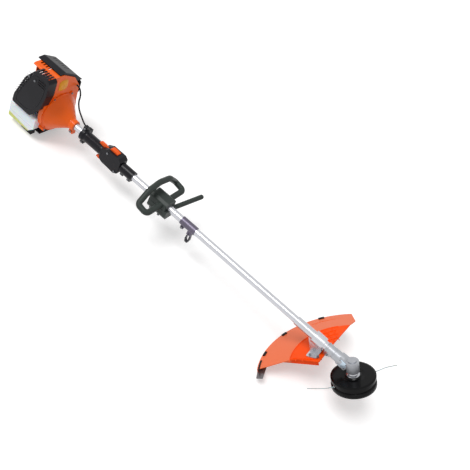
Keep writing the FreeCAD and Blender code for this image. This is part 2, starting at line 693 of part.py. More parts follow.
COVER_OUTLINE = [(-76, -12, 8), (-73, 24, 20), (-38, 122, 30), (0, 174, 14), (70, 174, 14),
                 (68, 106, 16), (52, 40, 24), (14, -14, 16)]


def muffler_cover():
    c = CRANK_X
    outer = prism([(c + x, z, r) for x, z, r in COVER_OUTLINE], "y", -100, -62)
    middle = (-4.0, 85.0)
    inner_points = []
    for x, z, r in COVER_OUTLINE:
        reach = hypot(x - middle[0], z - middle[1])
        scale = 1 - 3.4 / reach
        inner_points.append((c + middle[0] + (x - middle[0]) * scale,
                             middle[1] + (z - middle[1]) * scale, max(r - 2.5, 2)))
    inner = prism(inner_points, "y", -97.5, -61)
    shell = outer.cut(inner)
    slots = []
    for i in range(9):
        slots.append(box(-14, 14, -101, -82, -2.4, 2.4).translated(V(c - 68 + i * 6.0, 0, 40 + i * 13.5)))
    top_slots = [box(c + 8 + i * 11, c + 14 + i * 11, -92, -61, 166, 180) for i in range(5)]
    front_slots = [box(c + 22, c + 56, -101, -96, 132 + i * 9, 136 + i * 9) for i in range(3)]
    shell = shell.cut(slots + top_slots + front_slots)
    shell = shell.cut(hood_solid(c - 50, FLANGE_X + 0.3, GAP))
    boss = [cyl(5.0, V(c + x, -98, z), V(c + x, -90.5, z)) for x, z in ((-20, 137), (8, 137))]
    shell = fuse(shell, *boss)
    return drilled(max(shell.Solids, key=lambda s: s.Volume), COVER_SCREWS)


def intake_block():
    c = CRANK_X
    block = box(c - 16, c + 16, 44, 60, 50, 84)
    return block.cut(cyl(8, V(c, 43, 66), V(c, 61, 66)))


CABLE_Y = 64.0
CABLE_Z = 100.0


def carburettor():
    c = CRANK_X
    body = prism([(c - 18, 48), (c + 18, 48), (c + 18, 88), (c - 18, 88)], "y", 60, 92, 4)
    cap = cyl(11, V(c - 4, 76, 84), V(c - 4, 76, 92))
    bowl = cyl(12, V(c, 76, 42), V(c, 76, 49))
    stop = box(c + 16, c + 22, CABLE_Y - 6, CABLE_Y + 6, 76, CABLE_Z + 5)
    shape = fuse(body, cap, bowl, stop)
    return cut(shape, cyl(8, V(c, 59, 66), V(c, 93, 66)), xcyl(3 + SEAT, c + 14, c + 30, CABLE_Y, CABLE_Z),
               cyl(4 + RUN, V(c - 4, 76, 86), V(c - 4, 76, 93)))


def throttle_cam():
    c = CRANK_X
    plate = fuse(cyl(11, V(c - 4, 76, 92 + GAP), V(c - 4, 76, 96)),
                 box(c - 4, c + 10, 67, 71, 92 + GAP, 96))
    return fuse(plate, cyl(4, V(c - 4, 76, 87), V(c - 4, 76, 93)))


def air_filter_base():
    c = CRANK_X
    plate = prism([(c - 52, 48.5), (c + 46, 48.5), (c + 46, 101), (c - 52, 101)], "y", 92, 95, 6)
    tab = prism([(c - 51, 21), (c - 29, 21), (c - 29, 56), (c - 51, 56)], "y", 92, 95, 5)
    bulb = cyl(9 + RUN, V(c - 40, 91, 32), V(c - 40, 96, 32))
    return cut(fuse(plate, tab), cyl(8, V(c, 91, 66), V(c, 96, 66)),
               cyl(3 + RUN, V(c + 30, 91, 62), V(c + 30, 96, 62)), bulb)


def choke_lever():
    c = CRANK_X
    pin = cyl(3, V(c + 30, 88, 62), V(c + 30, 98, 62))
    arm = prism([(c + 26, 58), (c + 34, 58), (c + 34, 66), (c + 29, 88), (c + 25, 88)], "y", 95 + GAP, 98, 2)
    return fuse(pin, arm)


def air_filter_element():
    c = CRANK_X
    pad = prism([(c - 46, 50), (c + 20, 50), (c + 20, 86), (c - 46, 86)], "y", 95 + GAP, 105, 5)
    return pad


def air_filter_cover():
    c = CRANK_X
    x0 = c - 57.0
    x1 = FLANGE_X - 3.0
    outline = [(-34, 160, 1), (-34, 173, 2), (-8, 175, 12), (50, 149, 20), (92, 114, 14), (113, 92, 10),
               (113, 44, 8), (70, 44, 1), (70, 90, 1), (30, 140, 1)]
    outer = prism(outline, "x", x0, x1)
    shell = outer.cut(hood_solid(x0 - 1, x1 + 1, GAP))
    room = prism([(60, 47, 0), (110, 47, 6), (110, 90, 8), (90, 109, 8), (60, 134, 8)], "x", x0 + 3, x1 - 3)
    shell = shell.cut(room)
    floor_gap = box(x0 - 1, x1 + 1, 60, 91.5, 30, 118)
    tab_gap = box(c - 51 - GAP, c - 29 + GAP, 91, 95 + GAP, 30, 60)
    shell = shell.cut([floor_gap, tab_gap])
    ribs = [box(x0 + 14 + i * 14, x0 + 17 + i * 14, 20, 86, 112, 170) for i in range(5)]
    return max(shell.cut(rib_grooves(ribs)).Solids, key=lambda s: s.Volume)


def rib_grooves(boxes):
    """Shallow grooves: only what lies within 1.2 mm of the cover's sloping top."""
    slope = prism([(-8, 173.6, 0), (50, 147.5, 0), (92, 112.3, 0), (130, 72, 0), (130, 190, 0), (-8, 190, 0)],
                  "x", CRANK_X - 80, CRANK_X + 80)
    return [b.common(slope) for b in boxes]


def primer_bulb():
    c = CRANK_X
    base = V(c - 40, 92 + GAP, 32)
    dome = Part.makeSphere(9.0, base + Y * 3).common(box(base.x - 10, base.x + 10, base.y, base.y + 20, 20, 44))
    return fuse(cyl(9.0, base, base + Y * 3), dome)


# ---- tank, stand, starter ----
TANK_FRONT = NOSE_X - 110.0


def tank_block(inset):
    w = TANK_HALF_WIDTH - inset
    b = TANK_BOTTOM + inset
    x0 = TANK_FRONT - TANK_LENGTH + inset
    x1 = TANK_FRONT - inset
    block = prism([(-w, b, 14), (w, b, 14), (w, -52 - inset, 10), (-52, -52 - inset, 3),
                   (-54 - inset, -20 - inset, 8), (-w, -20 - inset, 12)], "x", x0, x1)
    s = TANK_SLANT
    slant = prism([(x1 + 1, b - 1), (x1 - s - 1, b - 1), (x1 + 1, b + s + 1)], "y", -w - 1, w + 1)
    return block.cut(slant)


CAP_AT = V(TANK_FRONT - 92.0, TANK_HALF_WIDTH, -76.0)


def fuel_tank():
    shell = tank_block(0.0).cut(tank_block(2.2))
    neck = cyl(14, CAP_AT - Y * 3, CAP_AT + Y * 8)
    mouth = cyl(11, CAP_AT - Y * 4, CAP_AT + Y * 9)
    grommet = cyl(6 + SEAT, V(TANK_FRONT - 100, 70, -60), V(TANK_FRONT - 100, 70, -48))
    return cut(fuse(shell, neck.cut(mouth)), mouth, grommet)


def fuel_cap():
    cap = turned([(1.0, 14 + RUN), (1.0, 20), (15, 19), (17, 17), (17, 0), (8.3, 0), (8.3, 14 + RUN)], CAP_AT, Y, Z)
    plug = cyl(10, CAP_AT - Y * 3, CAP_AT + Y * 9)
    grips = [box(CAP_AT.x - 1.2, CAP_AT.x + 1.2, CAP_AT.y + 3, CAP_AT.y + 14, CAP_AT.z + 19, CAP_AT.z + 21)
             .rotated(CAP_AT, Y, 30.0 * i) for i in range(12)]
    return fuse(cap, plug, *grips)


FUEL_LINE_Y = (66.8, 73.2)


def fuel_lines():
    x = TANK_FRONT - 100
    grommet = turned([(-56, 0), (-56, 6), (-51.8, 6), (-51.8, 8), (-46, 8), (-46, 0)], V(x, 70, 0), Z, X)
    shapes = []
    beyond = box(CRANK_X - 18, CRANK_X, 50, 100, 40, 80)
    for y in FUEL_LINE_Y:
        points = [V(x, y, -50), V(x, y, -25), V(x + 8, y + 1, 0), V(CRANK_X - 38, y + 3, 26),
                  V(CRANK_X - 34, y + 3, 50), V(CRANK_X - 14, y + 3, 60)]
        shapes.append(bar(points, cord_radii(points), 2.2).cut(beyond))
    grommet = grommet.cut([cyl(2.2 + SEAT, V(x, y, -51), V(x, y, -40)) for y in FUEL_LINE_Y])
    return Part.makeCompound([grommet] + shapes)


def tank_stand():
    front = TANK_FRONT
    low = TANK_BOTTOM - GAP
    t = 4.0
    step = SHROUD_BOTTOM - GAP
    bend = front - TANK_SLANT + 2 * GAP
    side = [(front - 80, low), (bend, low), (bend + step - low, step), (front + 14, step),
            (front + 14, step - t), (bend + step - low + 2, step - t), (bend + 6, low - t),
            (front - 27, STAND_FOOT - 8), (front - 74, STAND_FOOT - 8), (front - 80, low - t)]
    plate = prism([(x, z, 0) for x, z in side], "y", -68, 68)
    middle = box(front - 90, front - 22, -46, 46, -160, low - t)
    return plate.cut(middle)


REAR_X = CRANK_X - 35.0


def starter_housing():
    x0 = REAR_X - 42.0
    shell = turned([(REAR_X - GAP, 48), (x0 + 6, 48), (x0, 42), (x0, 0), (x0 + 3, 0), (x0 + 3, 40),
                    (x0 + 7, 45), (REAR_X - GAP, 45)])
    post = xcyl(5, x0 + 2, REAR_X - 20)
    towers = [xcyl(5.5, x0, REAR_X - GAP, 42.5 * cos(a), 42.5 * sin(a)).cut(xcyl(38.5, x0 + 3.1, REAR_X))
              for a in (radians(0), radians(180))]
    shape = fuse(shell, post, *towers)
    vents = []
    for i in range(12):
        vents.append(box(x0 - 1, x0 + 4, -2, 2, 14, 33).rotated(V(0, 0, 0), X, 15 + 30 * i))
    mouth = cyl(1.8 + GAP, V(REAR_X - 29, 24, 32), V(REAR_X - 29, 60, 32))
    return drilled(shape.cut(vents + [mouth]), STARTER_SCREWS)


def starter_reel():
    x0 = REAR_X - 36.0
    reel = turned([(x0, 5 + RUN), (x0, 35), (x0 + 2, 35), (x0 + 2, 28), (x0 + 10, 28), (x0 + 10, 35),
                   (x0 + 12, 35), (x0 + 12, 5 + RUN)])
    rope = xring(33, 28 + SEAT, x0 + 3, x0 + 9)
    dogs = [box(x0 + 12, x0 + 15.5, y - 3, y + 3, -4, 4) for y in (-14, 14)]
    return Part.makeCompound([fuse(reel, *dogs), rope])


def starter_pawls():
    x0 = REAR_X - 17.0
    plate = xring(22, 6 + SEAT, x0 + 0.5, x0 + 6)
    arms = [box(x0 - 2.5, x0 + 0.5, y - 4, y + 4, z - 3, z + 3) for y, z in ((0, 16), (0, -16))]
    return fuse(plate, *arms)


def starter_grip():
    x0 = REAR_X - 29.0
    rope = cyl(1.8, V(x0, 30, 32), V(x0, 44, 32))
    handle = prism([(43, 25, 3), (43, 39, 3), (49, 52, 4), (58, 52, 5), (58, 12, 5), (49, 12, 4)],
                   "x", x0 - 6, x0 + 6)
    return fuse(rope, handle)


def engine_screws():
    places = FLANGE_SCREWS + CASE_SCREWS + STARTER_SCREWS + COVER_SCREWS
    return Part.makeCompound([screw(*place) for place in places])


# ---- rear handle ----
TRIGGER_PIVOT = V(GRIP_FRONT + 30.0, 0, -24.0)
LOCKOUT_PIVOT = V(GRIP_FRONT + 15.0, 0, 21.0)
HOUSING_TOP = 36.0
SWITCH_TRAVEL = 8.0
CABLE_END = V(GRIP_REAR, 27.0, 8.0)


def handle_block():
    r = GRIP_REAR
    f = GRIP_FRONT
    rear_ring = xcyl(25, r, r + 14)
    lugs = [prism([(-9, s * 20), (9, s * 20), (9, s * 38), (-9, s * 38)], "x", r, r + 14, 3) for s in (-1, 1)]
    boss = prism([(12, -1), (33, -1), (33, 17), (12, 17)], "x", r, r + 14, 3)
    grip = turned([(r + 14, 0), (r + 14, 24), (r + 20, GRIP_RADIUS), (f - 4, GRIP_RADIUS), (f + 4, 21), (f + 4, 0)])
    housing = prism([(f, -21, 4), (f + 14, -30, 8), (f + 76, -34, 8), (f + 92, -24, 5), (f + 92, 26, 6),
                     (f + 80, HOUSING_TOP, 5), (f + 24, HOUSING_TOP, 10), (f - 2, 21, 8)], "y", -20, 20)
    return fuse(rear_ring, grip, housing, boss, *lugs)


def handle_shells():
    f = GRIP_FRONT
    block = handle_block()
    tube = xcyl(TUBE_R + SEAT, GRIP_REAR - 1, f + 93)
    trigger_room = box(f - 32, f + 42, -5.6, 5.6, -50, -TUBE_R - 1)
    lock_room = box(f - 32, f + 22, -4.6, 4.6, TUBE_R + 1, 50)
    pins = [cyl(2.5 + RUN, TRIGGER_PIVOT - Y * 10.2, TRIGGER_PIVOT + Y * 10.2),
            cyl(2.0 + RUN, LOCKOUT_PIVOT - Y * 8.2, LOCKOUT_PIVOT + Y * 8.2)]
    switch_slot = box(f + 42, f + 42 + 8 + SWITCH_TRAVEL + 2 * GAP, -3 - GAP, 3 + GAP, 26, 40)
    cable = xcyl(3.0 + SEAT, GRIP_REAR - 1, GRIP_REAR + 12, CABLE_END.y, CABLE_END.z)
    shape = cut(block, tube, trigger_room, lock_room, switch_slot, cable, *pins)
    shape = drilled(shape, SHELL_SCREWS)
    left = shape.common(box(GRIP_REAR - 20, f + 120, 0, 60, -80, 80))
    right = shape.common(box(GRIP_REAR - 20, f + 120, -60, 0, -80, 80))
    return left, right


def throttle_trigger():
    p = TRIGGER_PIVOT
    outline = [(6, 6, 3), (6, -6, 3), (-10, -13, 4), (-40, -18, 6), (-54, -15, 2), (-50, -6, 2), (-30, -1, 6),
               (-12, 7, 4)]
    blade = prism([(p.x + x, p.z + z, r) for x, z, r in outline], "y", -5.0, 5.0)
    return fuse(blade, cyl(2.5, p - Y * 10, p + Y * 10))


def lockout_lever():
    p = LOCKOUT_PIVOT
    outline = [(4, -4, 2), (4, 4, 3), (-14, 11, 5), (-34, 11, 4), (-41, 5, 2), (-36, 1, 2), (-12, -3, 4)]
    blade = prism([(p.x + x, p.z + z, r) for x, z, r in outline], "y", -4.2, 4.2)
    return fuse(blade, cyl(2.0, p - Y * 8, p + Y * 8))


def stop_switch():
    f = GRIP_FRONT
    x = f + 42 + GAP
    cap = prism([(x - 16, HOUSING_TOP + 0.1, 1), (x + 22, HOUSING_TOP + 0.1, 1), (x + 22, HOUSING_TOP + 4, 2),
                 (x + 10, HOUSING_TOP + 7, 6), (x - 10, HOUSING_TOP + 7, 5)], "y", -9, 9)
    stem = box(x, x + 8, -3, 3, 28, HOUSING_TOP + 1)
    return fuse(cap, stem)


def handle_sleeve():
    f = GRIP_FRONT
    tube = xcyl(19, f + 92 + GAP, f + 150)
    lugs = [box(f + x - 7, f + x + 7, -7, 7, -28, -15) for x in (103, 136)]
    return drilled(cut(fuse(tube, *lugs), xcyl(TUBE_R + SEAT, f + 90, f + 152)), SLEEVE_SCREWS)


def cable_route():
    """Throttle cable from the carburettor's stop, out of the shroud and round to the rear handle."""
    return [V(CRANK_X + 16, CABLE_Y, CABLE_Z), V(FLANGE_X + 14, CABLE_Y, CABLE_Z),
            V(FLANGE_X + 28, 63, 74), V(FLANGE_X + 30, 58, 46), V(FLANGE_X + 48, 50, 26),
            V(NOSE_X - 12, 38, 14), V(CABLE_END.x - 22, CABLE_END.y, CABLE_END.z),
            V(CABLE_END.x + 10, CABLE_END.y, CABLE_END.z)]


def throttle_cable():
    points = cable_route()
    return bar(points, cord_radii(points), 3.0)


# ---- loop handle, barrier and harness ----
def loop_bar():
    x = LOOP_X
    w = LOOP_HALF_WIDTH
    side = [V(x, 0, 12), V(x, w + 3, 12), V(x - 43, w + 3, 20), V(x - 46, w * 0.55, LOOP_HEIGHT - 8),
            V(x - 48, 0, LOOP_HEIGHT)]
    points = side + [V(p.x, -p.y, p.z) for p in reversed(side[:-1])]
    radii = [14, 14, 34, 90, 34, 14, 14]
    return bar(points, radii, LOOP_BAR_RADIUS)


def loop_handle():
    x = LOOP_X
    block = prism([(-29, 0.3, 2), (29, 0.3, 2), (29, 22, 8), (16, 31, 8), (-16, 31, 8), (-29, 22, 8)], "x",
                  x - 50, x + 24)
    shape = fuse(loop_bar(), block)
    shape = shape.cut([xcyl(TUBE_R + SEAT, x - 60, x + 40), box(x - 30, x + 40, -28, 28, -30, 0.3)])
    return drilled(shape, CLAMP_SCREWS)


def loop_clamp():
    x = LOOP_X
    block = prism([(-29, 0, 2), (29, 0, 2), (29, -24, 6), (20, -38, 8), (-20, -38, 8), (-29, -24, 6)], "x",
                  x - 50, x + 34)
    seat = cyl(BARRIER_RADIUS + SEAT, BARRIER_START, BARRIER_START + BARRIER_DIR * 60)
    shape = cut(block, xcyl(TUBE_R + SEAT, x - 60, x + 40), seat)
    return drilled(shape, CLAMP_SCREWS)


BARRIER_START = V(LOOP_X + 22, 16, -14)
BARRIER_DIR = V(36, 150, 16).normalize()
BARRIER_LENGTH = 150.0


def barrier_bar():
    end = BARRIER_START + BARRIER_DIR * (BARRIER_LENGTH - BARRIER_RADIUS)
    rod = cyl(BARRIER_RADIUS, BARRIER_START, end)
    return fuse(rod, Part.makeSphere(BARRIER_RADIUS, end)).cut(xcyl(TUBE_R + SEAT, LOOP_X, LOOP_X + 60))


def harness_clamp():
    x0 = HARNESS_X - HARNESS_LENGTH / 2
    tube = xcyl(HARNESS_RADIUS, x0, x0 + HARNESS_LENGTH)
    lug = prism([(x0 + 6, -12), (x0 + 20, -12), (x0 + 20, -30), (x0 + 6, -30)], "y", -6, 6, 3)
    ears = [box(x0 + 40, x0 + 58, s * 8 - 2, s * 8 + 2, -29, -10) for s in (-1, 1)]
    shape = fuse(tube, lug, *ears)
    pin = cyl(3.0 + RUN, V(HOOK_PIN.x, -12, HOOK_PIN.z), V(HOOK_PIN.x, 12, HOOK_PIN.z))
    bolt = cyl(2.5 + SEAT, V(x0 + 13, -7, -24), V(x0 + 13, 7, -24))
    return cut(shape, xcyl(TUBE_R + SEAT, x0 - 1, x0 + HARNESS_LENGTH + 1), pin, bolt)


HOOK_PIN = V(HARNESS_X + 16, 0, -23.0)


def harness_hook():
    p = HOOK_PIN
    pin = cyl(3.0, p - Y * 10.5, p + Y * 10.5)
    outline = [(-6, 5, 5), (6, 5, 5), (11, -30, 8), (7, -46, 4), (-5, -46, 4), (-9, -30, 8)]
    hole = [(-3, -6, 2), (3, -6, 2), (5, -30, 3), (3, -39, 1.5), (-1, -39, 1.5), (-4, -30, 3)]
    plate = prism([(p.x + x, p.z + z, r) for x, z, r in outline], "y", -5, 5)
    slot = prism([(p.x + x, p.z + z, r) for x, z, r in hole], "y", -6, 6)
    return fuse(plate.cut(slot), pin)


HOOK_BOLT = (V(HARNESS_X - HARNESS_LENGTH / 2 + 13, -6.0, -24), Y, 2.5, 13.0)
NECK_BOLT = (V(NECK_REAR + 17, -6.0, -22), Y, 2.5, 13.0)


def frame_screws():
    places = CLAMP_SCREWS + SHELL_SCREWS + SLEEVE_SCREWS + BRACKET_SCREWS + [NOSE_SCREW, HOOK_BOLT, NECK_BOLT]
    return Part.makeCompound([screw(*place) for place in places])


# ---- placing and writing ----
def resting_floor():
    """Pitch and drop of the floor through the stand's feet and the guard's rear rim."""
    rim = head_frame(GUARD_RIM + GUARD_LIP, -GUARD_RADIUS, 0)
    foot = V(TANK_FRONT - 50.0, 0, STAND_FOOT)
    pitch = atan2(foot.z - rim.z, rim.x - foot.x)
    return pitch, foot


def build():
    left, right = handle_shells()
    makers = [drive_tube, shaft_bushes, drive_shaft, ball_bearings, gearbox_housing, pinion_gear,
              output_spindle, guard, line_cutter, head_housing, line_spool, clutch_housing, clutch_drum,
              clutch_shoes, flywheel, crankshaft, connecting_rod, piston, crankcase_front, crankcase_rear,
              cylinder, spark_plug, plug_boot, ignition_coil, fan_shroud, muffler, muffler_cover,
              intake_block, carburettor, throttle_cam, air_filter_base, choke_lever, air_filter_element,
              air_filter_cover, primer_bulb, fuel_tank, fuel_cap, fuel_lines, starter_housing,
              starter_reel, starter_pawls, starter_grip, engine_screws, throttle_trigger, lockout_lever,
              stop_switch, handle_sleeve, throttle_cable, loop_handle, loop_clamp, barrier_bar,
              harness_clamp, harness_hook, frame_screws]
    for maker in makers:
        NODES[maker.__name__] = maker()
    NODES["guard_bracket"] = Part.makeCompound([guard_bracket(), tube_sleeve()])
    NODES["handle_shell_left"] = left
    NODES["handle_shell_right"] = right
    for name, angle in zip(("line_end_a", "line_end_b"), EYE_ANGLES):
        NODES[name] = line_end(angle)
    pitch, foot = resting_floor()
    below = Part.makeBox(2600, 600, 200, V(-2000, -300, -200))
    below.rotate(V(0, 0, 0), Y, degrees(pitch))
    below.translate(foot - (X * foot.x) + V(0, 0, foot.x * tan(pitch)))
    NODES["tank_stand"] = tank_stand().cut(below)


def placement():
    """Turn by the pitch and move the middle of the box's underside to the origin."""
    pitch, _ = resting_floor()
    turn = FreeCAD.Rotation(Y, -degrees(pitch))
    tilted = Part.makeCompound(list(NODES.values()))
    tilted.Placement = FreeCAD.Placement(V(0, 0, 0), turn)
    extent = tilted.optimalBoundingBox(False, False)
    middle = V((extent.XMin + extent.XMax) / 2, (extent.YMin + extent.YMax) / 2, extent.ZMin)
    return FreeCAD.Placement(middle * -1, turn)


def main():
    build()
    place = placement()
    for name, shape in NODES.items():
        shape.Placement = place.multiply(shape.Placement)
        shape.exportStep("parts/" + name + ".step")
        if not shape.isValid():
            print("invalid", name)
    return place


PLACE = main()
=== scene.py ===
"""Looks of a petrol brush cutter with a line head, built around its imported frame.

The frame holds every hard piece at its real place. This script dresses those pieces, adds the small
moulded details and the free line ends, and sets the camera, the lamps and a pale floor.
"""
import json
import logging
import math
from dataclasses import dataclass, field
from enum import Enum

import bpy
import numpy as np
from mathutils import Matrix, Vector

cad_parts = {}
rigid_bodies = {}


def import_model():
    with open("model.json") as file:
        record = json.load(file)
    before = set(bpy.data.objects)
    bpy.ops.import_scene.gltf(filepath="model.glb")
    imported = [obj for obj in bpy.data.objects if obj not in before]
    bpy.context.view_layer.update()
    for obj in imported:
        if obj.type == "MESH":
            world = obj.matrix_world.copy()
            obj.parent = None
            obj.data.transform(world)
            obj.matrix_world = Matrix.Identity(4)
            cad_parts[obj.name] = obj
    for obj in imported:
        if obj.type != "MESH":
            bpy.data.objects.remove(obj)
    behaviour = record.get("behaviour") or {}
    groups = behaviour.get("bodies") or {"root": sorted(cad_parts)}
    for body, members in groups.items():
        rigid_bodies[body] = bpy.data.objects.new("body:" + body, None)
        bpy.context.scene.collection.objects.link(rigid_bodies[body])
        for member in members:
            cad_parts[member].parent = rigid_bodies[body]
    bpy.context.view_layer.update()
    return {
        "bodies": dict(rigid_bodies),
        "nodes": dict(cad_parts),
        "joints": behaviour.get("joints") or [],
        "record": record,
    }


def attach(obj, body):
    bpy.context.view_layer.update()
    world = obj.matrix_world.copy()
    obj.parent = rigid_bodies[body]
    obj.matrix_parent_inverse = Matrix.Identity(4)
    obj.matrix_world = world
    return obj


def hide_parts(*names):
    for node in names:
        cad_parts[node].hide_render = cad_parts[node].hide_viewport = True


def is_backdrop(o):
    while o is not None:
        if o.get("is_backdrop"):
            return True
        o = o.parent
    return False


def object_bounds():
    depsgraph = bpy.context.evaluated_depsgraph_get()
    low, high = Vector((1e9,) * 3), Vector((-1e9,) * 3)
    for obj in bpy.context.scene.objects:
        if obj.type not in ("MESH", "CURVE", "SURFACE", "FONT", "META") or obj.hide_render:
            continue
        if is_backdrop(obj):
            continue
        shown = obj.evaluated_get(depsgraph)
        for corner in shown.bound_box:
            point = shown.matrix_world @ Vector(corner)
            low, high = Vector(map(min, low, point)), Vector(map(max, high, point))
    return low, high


LOG = logging.getLogger("brush_cutter")
MM = 0.001


class Grain(Enum):
    """How a surface is worked: the stretch of its fine grain along, across and above the machine."""

    MOULDED = (1.0, 1.0, 1.0)
    DRAWN = (0.04, 1.0, 1.0)
    TURNED = (1.0, 0.25, 0.25)


class Body(Enum):
    """Bodies of the frame that the added pieces ride on."""

    FIXED = "root"
    HEAD = "head"
    COVER = "filter_cover"


def linear(colour: tuple[int, int, int]) -> tuple[float, float, float, float]:
    """Turn a colour as it is seen, 0 to 255, into light values with full alpha.

    Args:
        colour: Red, green and blue as they are seen.

    Returns:
        Red, green, blue and alpha as a shader takes them.
    """
    seen = np.asarray(colour, float) / 255.0
    light = np.where(seen <= 0.04045, seen / 12.92, ((seen + 0.055) / 1.055) ** 2.4)
    return (float(light[0]), float(light[1]), float(light[2]), 1.0)


def shaded(colour: tuple[float, float, float, float], factor: float) -> tuple[float, float, float, float]:
    """Make a light value brighter or darker by a factor, and keep its alpha."""
    return (min(colour[0] * factor, 1.0), min(colour[1] * factor, 1.0), min(colour[2] * factor, 1.0), 1.0)


@dataclass(frozen=True)
class MachineFrame:
    """The machine's own axes in the row frame: along the tube, to the operator's left, and up."""

    origin: np.ndarray
    axes: np.ndarray
    spindle: np.ndarray

    @classmethod
    def from_record(cls, joints: list[dict]) -> "MachineFrame":
        """Read the axes from the joints of the shaft and of the head.

        Args:
            joints: The record's joints.

        Returns:
            The frame whose origin is the crossing of tube and spindle.
        """
        found = {joint["name"]: joint for joint in joints}
        along = np.asarray(found["drive_spin"]["axis"], float)
        spindle = np.asarray(found["head_spin"]["axis"], float)
        left = np.array([0.0, 1.0, 0.0])
        up = np.cross(along, left)
        return cls(np.asarray(found["head_spin"]["pos_m"], float), np.stack([along, left, up]), spindle)

    @property
    def outwards(self) -> np.ndarray:
        """Direction at right angles to the spindle, forwards in the machine's middle plane."""
        return np.cross(self.spindle, self.axes[1])

    def at(self, points: object) -> np.ndarray:
        """Place machine points, in millimetres, in the row frame in metres."""
        return self.origin + np.asarray(points, float) * MM @ self.axes

    def turned(self, directions: object) -> np.ndarray:
        """Turn machine directions into the row frame."""
        return np.asarray(directions, float) @ self.axes

    def round_spindle(self, depth: object, radius: object, degrees: object) -> np.ndarray:
        """Place points given by depth along the spindle, radius and angle about it.

        Args:
            depth: Distance down the spindle in millimetres.
            radius: Distance from the spindle in millimetres.
            degrees: Angle from the forward direction towards the operator's left.

        Returns:
            The points in the row frame in metres.
        """
        turn = np.radians(np.asarray(degrees, float))[..., None]
        down = np.asarray(depth, float)[..., None] * self.spindle
        out = np.asarray(radius, float)[..., None] * (np.cos(turn) * self.outwards + np.sin(turn) * self.axes[1])
        return self.origin + (down + out) * MM


# ---- finishes ----
@dataclass(frozen=True)
class Finish:
    """A worked surface: its colour drifts slowly, and a fine grain roughens and dents it."""

    name: str
    colour: tuple[int, int, int]
    roughness: float
    metallic: float = 0.0
    grain: Grain = Grain.MOULDED
    grain_size: float = 900.0
    depth: float = 0.00006
    drift: float = 0.06
    drift_size: float = 18.0
    coat: float = 0.0
    sheen: float = 0.0
    scatter: float = 0.0
    mirror: float = 0.4

    def build(self) -> bpy.types.Material:
        """Make the finish as a node material on object coordinates.

        Returns:
            The finished material.
        """
        material = bpy.data.materials.new(self.name)
        material.use_nodes = True
        nodes = material.node_tree.nodes
        links = material.node_tree.links
        shader = nodes["Principled BSDF"]
        shader.inputs["Metallic"].default_value = self.metallic
        shader.inputs["Coat Weight"].default_value = self.coat
        shader.inputs["Specular IOR Level"].default_value = self.mirror
        shader.inputs["Sheen Weight"].default_value = self.sheen
        shader.inputs["Subsurface Weight"].default_value = self.scatter
        shader.inputs["Subsurface Scale"].default_value = 0.01
        place = nodes.new("ShaderNodeTexCoord").outputs["Object"]
        links.new(self._colour(nodes, links, place), shader.inputs["Base Color"])
        stretch = nodes.new("ShaderNodeMapping")
        stretch.inputs["Scale"].default_value = self.grain.value
        links.new(place, stretch.inputs["Vector"])
        grain = nodes.new("ShaderNodeTexNoise")
        grain.inputs["Scale"].default_value = self.grain_size
        grain.inputs["Detail"].default_value = 4.0
        links.new(stretch.outputs["Vector"], grain.inputs["Vector"])
        rough = nodes.new("ShaderNodeMapRange")
        rough.inputs["To Min"].default_value = max(self.roughness - 0.08, 0.02)
        rough.inputs["To Max"].default_value = min(self.roughness + 0.08, 1.0)
        links.new(grain.outputs["Fac"], rough.inputs["Value"])
        links.new(rough.outputs["Result"], shader.inputs["Roughness"])
        bump = nodes.new("ShaderNodeBump")
        bump.inputs["Strength"].default_value = 0.5
        bump.inputs["Distance"].default_value = self.depth
        links.new(grain.outputs["Fac"], bump.inputs["Height"])
        links.new(bump.outputs["Normal"], shader.inputs["Normal"])
        return material

    def _colour(self, nodes: bpy.types.Nodes, links: bpy.types.NodeLinks,
                place: bpy.types.NodeSocket) -> bpy.types.NodeSocket:
        """Mix a darker and a lighter shade of the colour by a slow noise.

        Args:
            nodes: Nodes of the material.
            links: Links of the material.
            place: Socket with the object coordinates.

        Returns:
            The socket with the drifting colour.
        """
        slow = nodes.new("ShaderNodeTexNoise")
        slow.inputs["Scale"].default_value = self.drift_size
        slow.inputs["Detail"].default_value = 3.0
        links.new(place, slow.inputs["Vector"])
        ramp = nodes.new("ShaderNodeValToRGB")
        low, high = ramp.color_ramp.elements
        low.position, high.position = 0.3, 0.7
        low.color = shaded(linear(self.colour), 1.0 - self.drift)
        high.color = shaded(linear(self.colour), 1.0 + self.drift)
        links.new(slow.outputs["Fac"], ramp.inputs["Fac"])
        return ramp.outputs["Color"]


